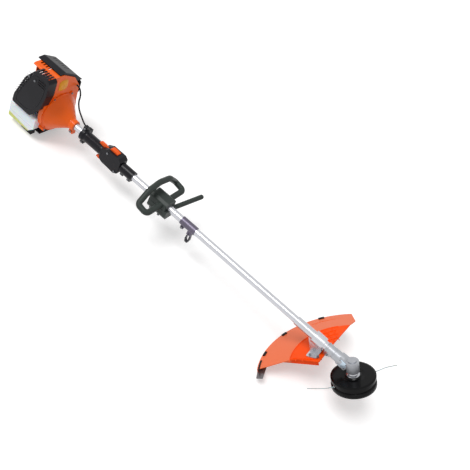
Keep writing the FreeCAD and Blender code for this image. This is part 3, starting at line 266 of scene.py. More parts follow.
@dataclass(frozen=True)
class TwoToneFinish(Finish):
    """A finish whose colour turns into a second one where a distance in the frame passes a mark."""

    second: tuple[int, int, int] = (255, 255, 255)
    origin: tuple[float, float, float] = (0.0, 0.0, 0.0)
    axis: tuple[float, float, float] = (0.0, 0.0, 1.0)
    radial: bool = False
    start: float = 0.0
    end: float = 0.01

    def _colour(self, nodes: bpy.types.Nodes, links: bpy.types.NodeLinks,
                place: bpy.types.NodeSocket) -> bpy.types.NodeSocket:
        """Blend to the second colour by the distance along the axis, or away from it where radial."""
        first = super()._colour(nodes, links, place)
        shift = nodes.new("ShaderNodeVectorMath")
        shift.operation = "SUBTRACT"
        shift.inputs[1].default_value = self.origin
        links.new(place, shift.inputs[0])
        measure = nodes.new("ShaderNodeVectorMath")
        measure.operation = "CROSS_PRODUCT" if self.radial else "DOT_PRODUCT"
        measure.inputs[1].default_value = self.axis
        links.new(shift.outputs["Vector"], measure.inputs[0])
        if self.radial:
            length = nodes.new("ShaderNodeVectorMath")
            length.operation = "LENGTH"
            links.new(measure.outputs["Vector"], length.inputs[0])
            distance = length.outputs["Value"]
        else:
            distance = measure.outputs["Value"]
        share = nodes.new("ShaderNodeMapRange")
        share.inputs["From Min"].default_value = self.start
        share.inputs["From Max"].default_value = self.end
        links.new(distance, share.inputs["Value"])
        mix = nodes.new("ShaderNodeMix")
        mix.data_type = "RGBA"
        colours = [socket for socket in mix.inputs if socket.type == "RGBA"]
        colours[1].default_value = linear(self.second)
        links.new(first, colours[0])
        links.new(share.outputs["Result"], mix.inputs["Factor"])
        return [socket for socket in mix.outputs if socket.type == "RGBA"][0]


TUBE_SILVER = Finish("tube_silver", (198, 199, 204), 0.27, 0.85, Grain.DRAWN, 1400.0, 0.00003, 0.03)
CAST_SILVER = Finish("cast_silver", (172, 174, 179), 0.38, 0.85, grain_size=1600.0, depth=0.00012)
POLISHED_STEEL = Finish("polished_steel", (182, 183, 187), 0.18, 1.0, Grain.TURNED)
DARK_STEEL = Finish("dark_steel", (62, 62, 66), 0.35, 0.9)
SCREW_STEEL = Finish("screw_steel", (140, 142, 146), 0.3, 0.9, Grain.TURNED)
PRESSED_STEEL = Finish("pressed_steel", (122, 118, 120), 0.34, 0.85, drift=0.12)
SHROUD_ORANGE = Finish("shroud_orange", (246, 100, 14), 0.3, drift=0.04, coat=0.1, mirror=0.2)
CONTROL_ORANGE = Finish("control_orange", (236, 92, 30), 0.38, drift=0.05, mirror=0.2)
COVER_BLACK = Finish("cover_black", (17, 16, 22), 0.36, drift=0.2, mirror=0.16)
HEAD_BLACK = Finish("head_black", (7, 7, 8), 0.2, drift=0.2, mirror=0.12)
STAND_BLACK = Finish("stand_black", (24, 23, 26), 0.5, depth=0.0001, mirror=0.16)
GRIP_BLACK = Finish("grip_black", (17, 16, 22), 0.3, depth=0.00012, mirror=0.2)
LOOP_GREY = Finish("loop_grey", (50, 57, 54), 0.42, depth=0.00012, mirror=0.2)
CLAMP_GREY = Finish("clamp_grey", (98, 92, 108), 0.38, 0.55)
LINE_GREY = Finish("line_grey", (150, 170, 172), 0.35, grain_size=2500.0, scatter=0.2)
AMBER_PLATE = Finish("amber_plate", (240, 160, 30), 0.34, drift=0.08, drift_size=60.0, mirror=0.2)
BLUE_PLATE = Finish("blue_plate", (196, 212, 226), 0.3, 0.5)
BULB_CLEAR = Finish("bulb_clear", (206, 196, 158), 0.25, scatter=0.3)
FOAM_YELLOW = Finish("foam_yellow", (214, 196, 96), 0.9, grain_size=700.0, depth=0.0008)
PLUG_WHITE = Finish("plug_white", (232, 232, 228), 0.15, coat=0.4)
VENT_PALE = Finish("vent_pale", (206, 206, 208), 0.4)
CLIP_BLACK = Finish("clip_black", (15, 15, 16), 0.45, mirror=0.16)

NODE_FINISHES: dict[Finish, tuple[str, ...]] = {
    TUBE_SILVER: ("drive_tube", "guard_bracket"),
    CAST_SILVER: ("gearbox_housing", "crankcase_front", "crankcase_rear", "cylinder", "carburettor",
                  "flywheel", "piston"),
    POLISHED_STEEL: ("drive_shaft", "ball_bearings", "output_spindle", "crankshaft", "connecting_rod"),
    DARK_STEEL: ("pinion_gear", "clutch_drum", "clutch_shoes", "muffler", "throttle_cam",
                 "starter_pawls", "harness_hook"),
    SCREW_STEEL: ("engine_screws", "frame_screws"),
    PRESSED_STEEL: ("line_cutter",),
    SHROUD_ORANGE: ("clutch_housing", "fan_shroud"),
    CONTROL_ORANGE: ("throttle_trigger", "lockout_lever", "stop_switch", "choke_lever"),
    COVER_BLACK: ("muffler_cover", "air_filter_cover", "starter_housing", "fuel_cap"),
    HEAD_BLACK: ("head_housing", "line_spool"),
    STAND_BLACK: ("tank_stand", "shaft_bushes", "intake_block", "air_filter_base", "starter_reel",
                  "ignition_coil"),
    GRIP_BLACK: ("handle_shell_left", "handle_shell_right", "handle_sleeve", "throttle_cable",
                 "starter_grip", "plug_boot"),
    LOOP_GREY: ("loop_handle", "loop_clamp", "barrier_bar"),
    CLAMP_GREY: ("harness_clamp",),
    BULB_CLEAR: ("primer_bulb", "fuel_lines"),
    FOAM_YELLOW: ("air_filter_element",),
    PLUG_WHITE: ("spark_plug",),
}


@dataclass
class Workshop:
    """Makes meshes from grids of points, gives them their finish and puts them on their body."""

    frame: MachineFrame
    made: dict[str, bpy.types.Material] = field(default_factory=dict)

    def material(self, finish: Finish) -> bpy.types.Material:
        """Return the finish's material, made once."""
        if finish.name not in self.made:
            self.made[finish.name] = finish.build()
        return self.made[finish.name]

    def dress(self, piece: bpy.types.Object, finish: Finish) -> None:
        """Give a piece one finish all over."""
        piece.data.materials.clear()
        piece.data.materials.append(self.material(finish))

    def surface(self, name: str, grid: np.ndarray, loop: bool, finish: Finish, body: Body,
                slot: str) -> bpy.types.Object:
        """Close a grid of rings into a solid skin.

        Neighbouring rings are joined by quads. The first and last rings are closed by a flat face
        each, or joined to each other where the grid is a loop. Faces are turned outwards by the sign of
        the volume that they enclose.

        Args:
            name: Name of the piece.
            grid: Points, rings by points in a ring by 3, in metres in the row frame.
            loop: Whether the last ring joins the first.
            finish: Finish of the piece.
            body: Body that it rides on.
            slot: Material slot of the record; passed on, but not used.

        Returns:
            The piece.
        """
        rings, count, _ = grid.shape
        here = np.arange(rings if loop else rings - 1)[:, None] * count
        after = ((np.arange(rings if loop else rings - 1) + 1) % rings)[:, None] * count
        step = np.arange(count)[None, :]
        ahead = (step + 1) % count
        quads = np.stack([here + step, here + ahead, after + ahead, after + step], axis=-1).reshape(-1, 4)
        points = grid.reshape(-1, 3)
        corners = points[quads]
        arms = np.cross(corners[:, 2] - corners[:, 0], corners[:, 3] - corners[:, 1])
        volume = float(np.einsum("ij,ij->", corners.mean(axis=1) - points.mean(axis=0), arms))
        faces = quads.tolist()
        if not loop:
            faces.append(list(range(count))[::-1])
            faces.append(list(range((rings - 1) * count, rings * count)))
        if volume < 0:
            faces = [face[::-1] for face in faces]
        mesh = bpy.data.meshes.new(name)
        mesh.from_pydata(points.tolist(), [], faces)
        mesh.polygons.foreach_set("use_smooth", np.ones(len(faces), bool))
        mesh.set_sharp_from_angle(angle=math.radians(38.0))
        mesh.update()
        return self.settle(bpy.data.objects.new(name, mesh), finish, body, slot)

    def settle(self, piece: bpy.types.Object, finish: Finish, body: Body, slot: str) -> bpy.types.Object:
        """Link, dress, mount and report a piece.

        Args:
            piece: The new piece, in place in the row frame.
            finish: Its finish.
            body: Body that it rides on.
            slot: Material slot of the record; not used.

        Returns:
            The same piece.
        """
        bpy.context.scene.collection.objects.link(piece)
        self.dress(piece, finish)
        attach(piece, body.value)
        LOG.info("piece %s on %s", piece.name, body.value)
        return piece


def rounded_section(width: float, height: float, steps: int = 5) -> np.ndarray:
    """Outline of a bar with rounded corners: a rectangle whose corners are quarter circles.

    Args:
        width: Full width across.
        height: Full height.
        steps: Points on each corner.

    Returns:
        Points as across and up, centred.
    """
    radius = 0.35 * min(width, height)
    turns = np.linspace(0.0, math.pi / 2, steps)
    arc = np.stack([np.cos(turns), np.sin(turns)], axis=-1) * radius
    middle = np.array([width / 2 - radius, height / 2 - radius])
    quarters = []
    for quarter in range(4):
        cosine, sine = math.cos(quarter * math.pi / 2), math.sin(quarter * math.pi / 2)
        spin = np.array([[cosine, sine], [-sine, cosine]])
        sign = np.sign(np.array([1.0, 1.0]) @ spin)
        quarters.append(arc @ spin + middle * sign)
    return np.concatenate(quarters)


def swept(path: np.ndarray, section: np.ndarray, normal: np.ndarray) -> np.ndarray:
    """Carry a section along a path: across is the path's direction crossed with the normal.

    Args:
        path: Points of the path, in metres.
        section: Outline as across and up, in metres.
        normal: Direction of up, one for all points or one for each.

    Returns:
        A grid of rings, one for each point of the path.
    """
    ahead = np.gradient(path, axis=0)
    ahead /= np.linalg.norm(ahead, axis=1, keepdims=True)
    up = np.broadcast_to(normal, path.shape)
    across = np.cross(ahead, up)
    across /= np.linalg.norm(across, axis=1, keepdims=True)
    up = np.cross(across, ahead)
    return path[:, None] + section[None, :, 0:1] * across[:, None] + section[None, :, 1:2] * up[:, None]


def revolved(base: np.ndarray, axis: np.ndarray, side: np.ndarray, profile: np.ndarray,
             count: int = 96) -> np.ndarray:
    """Turn a closed profile round an axis: each ring is the profile at one angle.

    Args:
        base: Point on the axis, in metres.
        axis: Direction of the axis.
        side: Direction at right angles to it.
        profile: Closed outline as along and radius, in metres.
        count: Number of angles.

    Returns:
        A grid of rings that closes on itself.
    """
    turns = np.linspace(0.0, 2 * math.pi, count, endpoint=False)[:, None, None]
    out = np.cos(turns) * side + np.sin(turns) * np.cross(axis, side)
    return base + profile[None, :, 0:1] * axis + profile[None, :, 1:2] * out


def stacked(base: np.ndarray, axis: np.ndarray, side: np.ndarray, profile: np.ndarray,
            count: int = 32, lobes: int = 0, lobe: float = 0.0) -> np.ndarray:
    """Stack circles along an axis: the radius follows the profile, and may swell in even lobes.

    Args:
        base: Start on the axis, in metres.
        axis: Direction of the axis.
        side: Direction at right angles to it.
        profile: Height and radius of each circle, in metres.
        count: Points on each circle.
        lobes: Number of lobes round the circle.
        lobe: Share of the radius by which a lobe swells.

    Returns:
        A grid of rings, the first at the base.
    """
    turns = np.linspace(0.0, 2 * math.pi, count, endpoint=False)
    swell = 1.0 + lobe * np.cos(lobes * turns)
    out = (np.cos(turns)[:, None] * side + np.sin(turns)[:, None] * np.cross(axis, side)) * swell[:, None]
    return base + profile[:, None, 0:1] * axis + profile[:, None, 1:2] * out[None]


def softened(points: np.ndarray, passes: int = 4) -> np.ndarray:
    """Round a closed outline: each pass cuts every corner at a quarter of its two sides.

    Args:
        points: Corners of the outline.
        passes: How often the corners are cut.

    Returns:
        The rounded outline, with twice as many points for each pass.
    """
    for _ in range(passes):
        ahead = np.roll(points, -1, axis=0)
        points = np.stack([0.75 * points + 0.25 * ahead, 0.25 * points + 0.75 * ahead], axis=1)
        points = points.reshape(-1, points.shape[-1])
    return points


def banded(path: np.ndarray, section: np.ndarray, normal: np.ndarray) -> np.ndarray:
    """Carry a section round a closed flat path: across points away from the path's middle side.

    Args:
        path: Closed path, in metres.
        section: Outline as across and up, in metres.
        normal: Direction at right angles to the path's plane.

    Returns:
        A grid of rings that closes on itself.
    """
    ahead = np.roll(path, -1, axis=0) - np.roll(path, 1, axis=0)
    across = np.cross(ahead, normal)
    across /= np.linalg.norm(across, axis=1, keepdims=True)
    return path[:, None] + section[None, :, 0:1] * across[:, None] + section[None, :, 1:2] * normal


# ---- sub-assemblies ----
@dataclass
class EngineTrim:
    """Plate, vent slats and seams on the engine's covers, in millimetres in the machine's axes."""

    shop: Workshop
    flange_x: float = -1385.0
    crank_x: float = -1440.0
    tank_front: float = -1403.0
    tank_length: float = 126.0
    tank_half_width: float = 90.0
    plate_centre: tuple[float, float] = (-10.0, 124.0)
    plate_size: tuple[float, float] = (42.0, 46.0)
    slat_count: int = 9
    cover_face: float = -100.0
    cover_outline: tuple[tuple[float, float], ...] = ((-62, 2), (-60, 26), (-30, 114), (-2, 160), (56, 160),
                                                     (54, 106), (40, 48), (8, 0))

    def build(self) -> None:
        """Build every piece of trim and dress the tank."""
        self.amber_plate()
        self.vent_slats()
        self.tank_seam()
        self.shroud_bead()
        self.cover_bead()
        self.cover_knob()
        self.dress_tank()

    def amber_plate(self) -> None:
        """A blank rounded plate on the shroud's front: its outline shrinks a little over its edge."""
        outline = rounded_section(*self.plate_size, steps=9)
        rings = []
        for rise, scale in ((-0.2, 1.0), (0.5, 1.0), (0.9, 0.975)):
            place = np.empty((len(outline), 3))
            place[:, 0] = self.flange_x + rise
            place[:, 1] = self.plate_centre[0] + outline[:, 0] * scale
            place[:, 2] = self.plate_centre[1] + outline[:, 1] * scale
            rings.append(place)
        grid = self.shop.frame.at(np.stack(rings))
        self.shop.surface("shroud_plate", grid, False, AMBER_PLATE, Body.FIXED, "orange_plastic")

    def vent_slats(self) -> None:
        """Pale slats behind the muffler cover's slots, each a short rounded bar."""
        section = rounded_section(1.6, 2.4) * MM
        for index in range(self.slat_count):
            middle = np.array([self.crank_x - 68 + index * 6.0, -96.0, 40 + index * 13.5])
            ends = np.linspace(-10.0, 10.0, 6)[:, None] * np.array([1.0, 0.0, 0.0])
            path = self.shop.frame.at(middle + ends)
            grid = swept(path, section, self.shop.frame.turned([0.0, 0.0, 1.0]))
            self.shop.surface(f"vent_slat_{index}", grid, False, VENT_PALE, Body.FIXED, "dark_steel")

    def tank_seam(self) -> None:
        """The tank's moulding seam: a low bead carried round its rounded plan."""
        turns = np.linspace(0.0, 2 * math.pi, 160, endpoint=False)
        plan = np.stack([np.cos(turns), np.sin(turns)], axis=-1)
        plan = np.sign(plan) * np.abs(plan) ** 0.08
        half = np.array([self.tank_length / 2 - 0.2, self.tank_half_width - 0.2])
        path = np.empty((len(turns), 3))
        path[:, 0] = self.tank_front - self.tank_length / 2 + plan[:, 0] * half[0]
        path[:, 1] = plan[:, 1] * half[1]
        path[:, 2] = -62.5
        spokes = self.shop.frame.turned(np.column_stack([plan, np.zeros(len(turns))]))
        spokes /= np.linalg.norm(spokes, axis=1, keepdims=True)
        section = rounded_section(1.4, 1.6) * MM
        up = self.shop.frame.turned([0.0, 0.0, 1.0])
        grid = self.shop.frame.at(path)[:, None] + section[None, :, 0:1] * spokes[:, None]
        grid = grid + section[None, :, 1:2] * up
        self.shop.surface("tank_seam", grid, True, VENT_PALE, Body.FIXED, "tank_plastic")

    def shroud_bead(self) -> None:
        """The bead where cone meets shroud: a small ring round the shaft's axis."""
        section = rounded_section(2.0, 1.8) * MM
        profile = section + np.array([0.0, 80.3 * MM])
        base = self.shop.frame.at([self.flange_x + 2.0, 0.0, 0.0])
        frame = self.shop.frame
        grid = revolved(base, frame.axes[0], frame.axes[2], profile, 128)
        self.shop.surface("shroud_bead", grid, True, SHROUD_ORANGE, Body.FIXED, "orange_plastic")

    def cover_bead(self) -> None:
        """A raised line that follows the muffler cover's edge on its flat face."""
        outline = softened(np.asarray(self.cover_outline, float))
        path = np.column_stack([outline[:, 0] + self.crank_x, np.full(len(outline), self.cover_face),
                                outline[:, 1]])
        grid = banded(self.shop.frame.at(path), rounded_section(2.6, 1.8) * MM, self.shop.frame.axes[1])
        self.shop.surface("cover_bead", grid, True, COVER_BLACK, Body.FIXED, "black_plastic")

    def cover_knob(self) -> None:
        """The lobed knob that holds the filter cover: circles with six lobes, domed at the end."""
        frame = self.shop.frame
        profile = np.array([(-0.5, 8.0), (2.0, 8.0), (2.2, 11.0), (8.0, 11.0), (9.6, 9.6), (10.2, 6.0)]) * MM
        base = frame.at([self.crank_x + 2.0, 113.0, 68.0])
        grid = stacked(base, frame.axes[1], frame.axes[2], profile, 72, 6, 0.09)
        self.shop.surface("cover_knob", grid, False, GRIP_BLACK, Body.COVER, "black_plastic")

    def dress_tank(self) -> None:
        """Translucent white, with the fuel showing yellow-green low down."""
        frame = self.shop.frame
        level = frame.at([self.tank_front, 0.0, -80.0])
        finish = TwoToneFinish("tank_white", (236, 236, 240), 0.3, drift=0.03, scatter=0.35, coat=0.1,
                               second=(206, 208, 110), origin=tuple(level),
                               axis=tuple(-frame.axes[2] - 0.12 * frame.axes[0]), start=0.006, end=0.012)
        self.shop.dress(bpy.data.objects["fuel_tank"], finish)


@dataclass
class HandleTrim:
    """Ribs on the rear grip, in millimetres."""

    shop: Workshop
    grip_start: float = -1230.0
    grip_end: float = -1160.0
    grip_radius: float = 20.0
    rib_count: int = 14
    rib_height: float = 0.7

    def build(self) -> None:
        """Build the ribbed sleeve of the rear grip."""
        along = np.linspace(0.0, self.grip_end - self.grip_start, self.rib_count * 8 + 1)
        wave = 0.5 - 0.5 * np.cos(along / along[-1] * self.rib_count * 2 * math.pi)
        outer = np.column_stack([along, self.grip_radius + 0.05 + self.rib_height * wave])
        inner = np.column_stack([along[::-1], np.full(len(along), self.grip_radius - 0.3)])
        profile = np.concatenate([outer, inner]) * MM
        frame = self.shop.frame
        base = frame.at([self.grip_start, 0.0, 0.0])
        grid = revolved(base, frame.axes[0], frame.axes[2], profile, 72)
        self.shop.surface("grip_ribs", grid, True, GRIP_BLACK, Body.FIXED, "grip_rubber")


@dataclass
class GuardTrim:
    """Moulded lines, ribs and clips on the guard's upper face, in millimetres and degrees."""

    shop: Workshop
    knee: float = 205.0
    rim: float = 316.0
    plate: float = -34.0
    edge: float = -8.0
    near_end: float = 211.0
    far_end: float = 122.0

    def depth(self, radius: np.ndarray) -> np.ndarray:
        """Height of the upper face: flat inside the knee, then a straight slope to the rim."""
        share = np.clip((radius - self.knee) / (self.rim - self.knee), 0.0, 1.0)
        return self.plate + (self.edge - self.plate) * share

    def strip(self, name: str, radii: tuple[float, float], angles: tuple[float, float], width: float,
              height: float, finish: Finish, slot: str) -> None:
        """Lay a rounded bar on the upper face along a straight spiral between two places.

        Args:
            name: Name of the piece.
            radii: Radius at its start and end.
            angles: Angle at its start and end.
            width: Width of the bar.
            height: Height of the bar above the face.
            finish: Its finish.
            slot: Material slot of the record; passed on, but not used.
        """
        share = np.linspace(0.0, 1.0, 40)
        radius = radii[0] + (radii[1] - radii[0]) * share
        angle = angles[0] + (angles[1] - angles[0]) * share
        path = self.shop.frame.round_spindle(self.depth(radius) - height / 2 + 0.3, radius, angle)
        grid = swept(path, rounded_section(width, height) * MM, -self.shop.frame.spindle)
        self.shop.surface(name, grid, False, finish, Body.FIXED, slot)

    def build(self) -> None:
        """Build the moulded lines, the ribs of the inner plate and the clips of the rim."""
        # The guard and its moulded strips share one finish, whose paler outer slope is painted light and deeper
        # inner plate painted shade.
        finish = self.finish()
        self.shop.dress(bpy.data.objects["guard"], finish)
        self.strip("guard_ridge", (self.knee, self.knee), (self.near_end - 6, 128.0), 3.0, 2.0, finish,
                   "orange_guard")
        self.strip("guard_line", (278.0, 278.0), (127.0, 146.0), 2.0, 1.0, CONTROL_ORANGE, "orange_guard")
        for index, angle in enumerate(range(135, 204, 8)):
            if abs(angle - 180) > 14:
                self.strip(f"guard_rib_{index}", (122.0, 196.0), (angle, angle), 2.6, 2.6, finish,
                           "orange_guard")
        for index, radius in enumerate((140.0, 162.0, 184.0)):
            self.strip(f"guard_arc_near_{index}", (radius, radius), (197.0, 204.0), 2.6, 2.0, finish,
                       "orange_guard")
            self.strip(f"guard_arc_far_{index}", (radius, radius), (132.0, 160.0), 2.6, 2.0, finish,
                       "orange_guard")
        for index, angle in enumerate((134.0, 164.0, 188.0)):
            self.strip(f"guard_clip_{index}", (308.0, 308.0), (angle, angle + 4.0), 9.0, 5.0, CLIP_BLACK,
                       "black_plastic")
        self.strip("guard_edge", (309.0, 309.0), (197.0, self.near_end - 4), 6.0, 3.0, CLIP_BLACK,
                   "black_plastic")

    def finish(self) -> TwoToneFinish:
        """Deep orange inside the knee, and a paler orange on the outer slope: painted light, with the slope drawn
        as lit from above and the inner plate as in shade.
        """
        frame = self.shop.frame
        # Painted light: the paler second colour is the lit outer slope, and the deep first colour is the shaded
        # inner plate.
        return TwoToneFinish("guard_orange_painted_light", (248, 78, 2), 0.4, drift=0.06, mirror=0.15, second=(236, 116, 74),
                             origin=tuple(frame.origin), axis=tuple(frame.spindle), radial=True,
                             start=(self.knee - 2) * MM, end=(self.knee + 3) * MM)


@dataclass
class LineHead:
    """The free line ends and the metal eyelets that they leave by, in millimetres."""

    shop: Workshop
    depth: float = 42.0
    radius: float = 75.0
    line_radius: float = 1.35
    angles: tuple[float, float] = (-126.0, 54.0)
    bends_a: tuple[tuple[float, float, float], ...] = ((0, 0, 0), (22, 3, 0), (44, 15, 0), (62, 27, 1), (80, 38, 1))
    bends_b: tuple[tuple[float, float, float], ...] = ((0, 0, 0), (24, 0.8, 0.3), (47, -0.9, -0.4), (69, 1.5, 0.6),
                                                       (90, 5.5, 2.2))

    def build(self) -> None:
        """Build both line ends, both eyelets and the ribs of the head's rim."""
        for name, angle, bends in zip(("a", "b"), self.angles, (self.bends_a, self.bends_b)):
            self.line_end(name, angle, bends)
            self.eyelet(name, angle)
        self.rim_ribs()

    def rim_ribs(self) -> None:
        """Finger ribs round the lower shell: a thin band whose radius swells in many small lobes."""
        frame = self.shop.frame
        base = frame.origin + frame.spindle * 49.5 * MM
        profile = np.array([(0.0, 74.6), (1.0, 75.3), (9.5, 75.3), (10.5, 74.6)]) * MM
        grid = stacked(base, frame.spindle, frame.outwards, profile, 432, 54, 0.004)
        self.shop.surface("head_ribs", grid, False, HEAD_BLACK, Body.HEAD, "black_plastic")

    def line_end(self, name: str, angle: float, bends: tuple[tuple[float, float, float], ...]) -> None:
        """One line end: a smooth curve from its eyelet outwards, drifting sideways and down.

        Args:
            name: Letter of the line end.
            angle: Its direction about the spindle.
            bends: Run outwards, drift sideways and dip of each point.
        """
        frame = self.shop.frame
        turn = math.radians(angle)
        away = math.cos(turn) * frame.outwards + math.sin(turn) * frame.axes[1]
        side = np.cross(frame.spindle, away)
        start = frame.origin + (frame.spindle * self.depth + away * (self.radius - 3.0)) * MM
        points = [start + (away * run + side * drift + frame.spindle * dip) * MM for run, drift, dip in bends]
        curve = bpy.data.curves.new("line_" + name, "CURVE")
        curve.dimensions = "3D"
        curve.bevel_depth = self.line_radius * MM
        curve.bevel_resolution = 4
        curve.resolution_u = 16
        curve.use_fill_caps = True
        spline = curve.splines.new("NURBS")
        spline.points.add(len(points) - 1)
        for point, place in zip(spline.points, points):
            point.co = (*place, 1.0)
        spline.order_u = 3
        spline.use_endpoint_u = True
        piece = self.shop.settle(bpy.data.objects.new("line_" + name, curve), LINE_GREY, Body.HEAD, "nylon_line")
        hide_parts("line_end_" + name)

    def eyelet(self, name: str, angle: float) -> None:
        """A pressed metal ring round the line: a small bead turned about the line's direction.

        Args:
            name: Letter of the line end.
            angle: Its direction about the spindle.
        """
        frame = self.shop.frame
        turn = math.radians(angle)
        away = math.cos(turn) * frame.outwards + math.sin(turn) * frame.axes[1]
        base = frame.origin + (frame.spindle * self.depth + away * (self.radius - 2.6)) * MM
        profile = (rounded_section(1.6, 2.0) + np.array([0.0, 3.2])) * MM
        grid = revolved(base, away, frame.spindle, profile, 40)
        self.shop.surface("eyelet_" + name, grid, True, POLISHED_STEEL, Body.HEAD, "polished_steel")


@dataclass
class GearboxTrim:
    """Side plates, bolts and collar on the gearbox, in millimetres in the machine's axes."""

    shop: Workshop
    face: float = 15.5
    plate_middle: float = -38.0
    plate_size: tuple[float, float] = (33.0, 27.0)

    def build(self) -> None:
        """Build a plate with its bolts on each side, and the collar's two beads."""
        frame = self.shop.frame
        for name, sign in (("right", -1.0), ("left", 1.0)):
            outline = rounded_section(*self.plate_size, steps=6) * 0.98
            rings = []
            for rise, scale in ((-0.2, 1.0), (0.6, 1.0), (1.0, 0.96)):
                place = np.empty((len(outline), 3))
                place[:, 0] = self.plate_middle + outline[:, 0] * scale
                place[:, 1] = sign * (self.face + rise)
                place[:, 2] = outline[:, 1] * scale
                rings.append(place)
            self.shop.surface("gearbox_plate_" + name, frame.at(np.stack(rings)), False, BLUE_PLATE,
                              Body.FIXED, "cast_alloy")
            for index, (along, above) in enumerate(((-12.0, -9.0), (-12.0, 9.0), (12.0, -9.0), (12.0, 9.0))):
                centre = [self.plate_middle + along, sign * (self.face + 0.8), above]
                self.bolt(f"gearbox_bolt_{name}_{index}", centre, sign * frame.axes[1])
        for index, along in enumerate((-106.0, -80.0)):
            profile = (rounded_section(3.4, 2.0) + np.array([0.0, 18.4])) * MM
            grid = revolved(frame.at([along, 0.0, 0.0]), frame.axes[0], frame.axes[2], profile, 72)
            self.shop.surface(f"neck_bead_{index}", grid, True, CAST_SILVER, Body.FIXED, "cast_alloy")

    def bolt(self, name: str, centre: list[float], axis: np.ndarray) -> None:
        """A small hexagon bolt: a six-lobed stack under a rounded top.

        Args:
            name: Name of the piece.
            centre: Its seat in machine millimetres.
            axis: Direction away from the seat.
        """
        profile = np.array([(0.0, 2.3), (1.4, 2.3), (1.8, 1.9), (1.9, 1.0)]) * MM
        grid = stacked(self.shop.frame.at(centre), axis, self.shop.frame.axes[2], profile, 24, 6, 0.07)
        self.shop.surface(name, grid, False, SCREW_STEEL, Body.FIXED, "screw_steel")


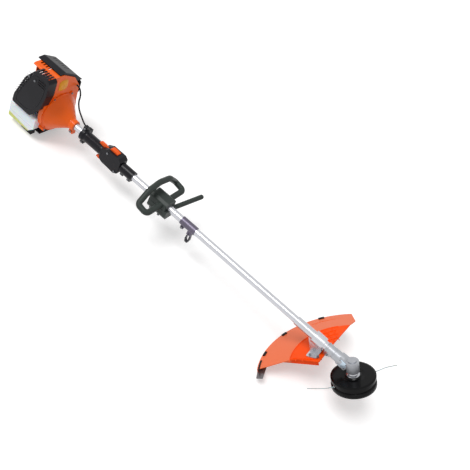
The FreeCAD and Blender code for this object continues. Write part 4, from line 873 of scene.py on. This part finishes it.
@dataclass
class Studio:
    """Camera, lamps, white surroundings and the pale floor."""

    frame: MachineFrame
    eye: tuple[float, float, float] = (-177.26, -1531.94, 1543.52)
    ahead: tuple[float, float, float] = (-0.18531, 0.71744, -0.67152)
    right: tuple[float, float, float] = (0.7433, 0.54933, 0.38177)
    lens: float = 49.4
    floor_size: float = 14.0

    def build(self) -> None:
        """Build the camera, the lamps, the surroundings and the floor."""
        self.camera()
        self.lamp()
        self.surroundings()
        self.floor()
        bpy.context.scene.view_settings.view_transform = "Standard"

    def camera(self) -> None:
        """Stand at the eye and look ahead, with right as the picture's right."""
        ahead = self.frame.turned(self.ahead)
        ahead /= np.linalg.norm(ahead)
        right = self.frame.turned(self.right)
        right -= ahead * (right @ ahead)
        right /= np.linalg.norm(right)
        up = np.cross(right, ahead)
        data = bpy.data.cameras.new("camera")
        data.lens = self.lens
        data.sensor_width = 36.0
        data.clip_start = 0.05
        data.clip_end = 60.0
        camera = bpy.data.objects.new("camera", data)
        turn = Matrix(np.column_stack([right, up, -ahead]).tolist()).to_4x4()
        camera.matrix_world = Matrix.Translation(Vector(self.frame.at(self.eye))) @ turn
        bpy.context.scene.collection.objects.link(camera)
        bpy.context.scene.camera = camera

    def lamp(self) -> None:
        """A broad sun from above, left of the camera."""
        data = bpy.data.lights.new("key", "SUN")
        data.energy = 1.9
        data.angle = math.radians(25.0)
        lamp = bpy.data.objects.new("key", data)
        shine = Vector(self.frame.turned((0.30, 0.42, -0.86)))
        lamp.rotation_euler = shine.to_track_quat("-Z", "Y").to_euler()
        bpy.context.scene.collection.objects.link(lamp)

    def surroundings(self) -> None:
        """White where it is seen or mirrored, and a soft grey fill for the lighting itself."""
        world = bpy.data.worlds.new("surroundings")
        world.use_nodes = True
        bpy.context.scene.world = world
        nodes = world.node_tree.nodes
        links = world.node_tree.links
        shader = nodes["Background"]
        shader.inputs["Color"].default_value = (1.0, 1.0, 1.0, 1.0)
        strength = nodes.new("ShaderNodeMapRange")
        strength.inputs["To Min"].default_value = 0.5
        strength.inputs["To Max"].default_value = 1.0
        links.new(seen(nodes, links), strength.inputs["Value"])
        links.new(strength.outputs["Result"], shader.inputs["Strength"])

    def floor(self) -> None:
        """A pale floor under the machine that shows its shadow and clears to white around it."""
        half = self.floor_size / 2
        low = -0.0003
        mesh = bpy.data.meshes.new("floor")
        mesh.from_pydata([(-half, -half, low), (half, -half, low), (half, half, low), (-half, half, low)], [],
                         [(0, 1, 2, 3)])
        floor = bpy.data.objects.new("floor", mesh)
        material = bpy.data.materials.new("floor_pale")
        material.use_nodes = True
        nodes = material.node_tree.nodes
        links = material.node_tree.links
        shader = nodes["Principled BSDF"]
        shader.inputs["Base Color"].default_value = (0.8, 0.8, 0.8, 1.0)
        shader.inputs["Roughness"].default_value = 0.9
        shader.inputs["Specular IOR Level"].default_value = 0.0
        glow = nodes.new("ShaderNodeEmission")
        strength = nodes.new("ShaderNodeMapRange")
        strength.inputs["To Max"].default_value = 0.35
        links.new(seen(nodes, links), strength.inputs["Value"])
        links.new(strength.outputs["Result"], glow.inputs["Strength"])
        both = nodes.new("ShaderNodeAddShader")
        links.new(shader.outputs["BSDF"], both.inputs[0])
        links.new(glow.outputs["Emission"], both.inputs[1])
        links.new(both.outputs["Shader"], nodes["Material Output"].inputs["Surface"])
        mesh.materials.append(material)
        bpy.context.scene.collection.objects.link(floor)
        floor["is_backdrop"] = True


def seen(nodes: bpy.types.Nodes, links: bpy.types.NodeLinks) -> bpy.types.NodeSocket:
    """Whether a ray comes from the camera, a mirror or a clear body.

    Args:
        nodes: Nodes of the tree.
        links: Links of the tree.

    Returns:
        A socket that is 1 for such rays and 0 for the light that falls on diffuse surfaces.
    """
    path = nodes.new("ShaderNodeLightPath")
    either = nodes.new("ShaderNodeMath")
    either.operation = "MAXIMUM"
    links.new(path.outputs["Is Camera Ray"], either.inputs[0])
    links.new(path.outputs["Is Glossy Ray"], either.inputs[1])
    every = nodes.new("ShaderNodeMath")
    every.operation = "MAXIMUM"
    links.new(either.outputs["Value"], every.inputs[0])
    links.new(path.outputs["Is Transmission Ray"], every.inputs[1])
    return every.outputs["Value"]


def dress_nodes(shop: Workshop, nodes: dict[str, bpy.types.Object]) -> None:
    """Give each hard piece of the frame its finish.

    Args:
        shop: Holds the materials.
        nodes: The frame's pieces by name.
    """
    for finish, names in NODE_FINISHES.items():
        for name in names:
            shop.dress(nodes[name], finish)
            LOG.info("dressed %s in %s", name, finish.name)


def corners() -> list[list[float]]:
    """Lowest and highest corner of what is shown, as plain lists."""
    return [list(corner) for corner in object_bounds()]


def main() -> None:
    """Load the frame and build every sub-assembly in order."""
    logging.basicConfig(level=logging.INFO, format="%(name)s: %(message)s")
    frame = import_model()
    machine = MachineFrame.from_record(frame["joints"])
    shop = Workshop(machine)
    Studio(machine).build()
    LineHead(shop).build()
    dress_nodes(shop, frame["nodes"])
    EngineTrim(shop).build()
    HandleTrim(shop).build()
    GuardTrim(shop).build()
    GearboxTrim(shop).build()


if __name__ == "__main__":
    main()
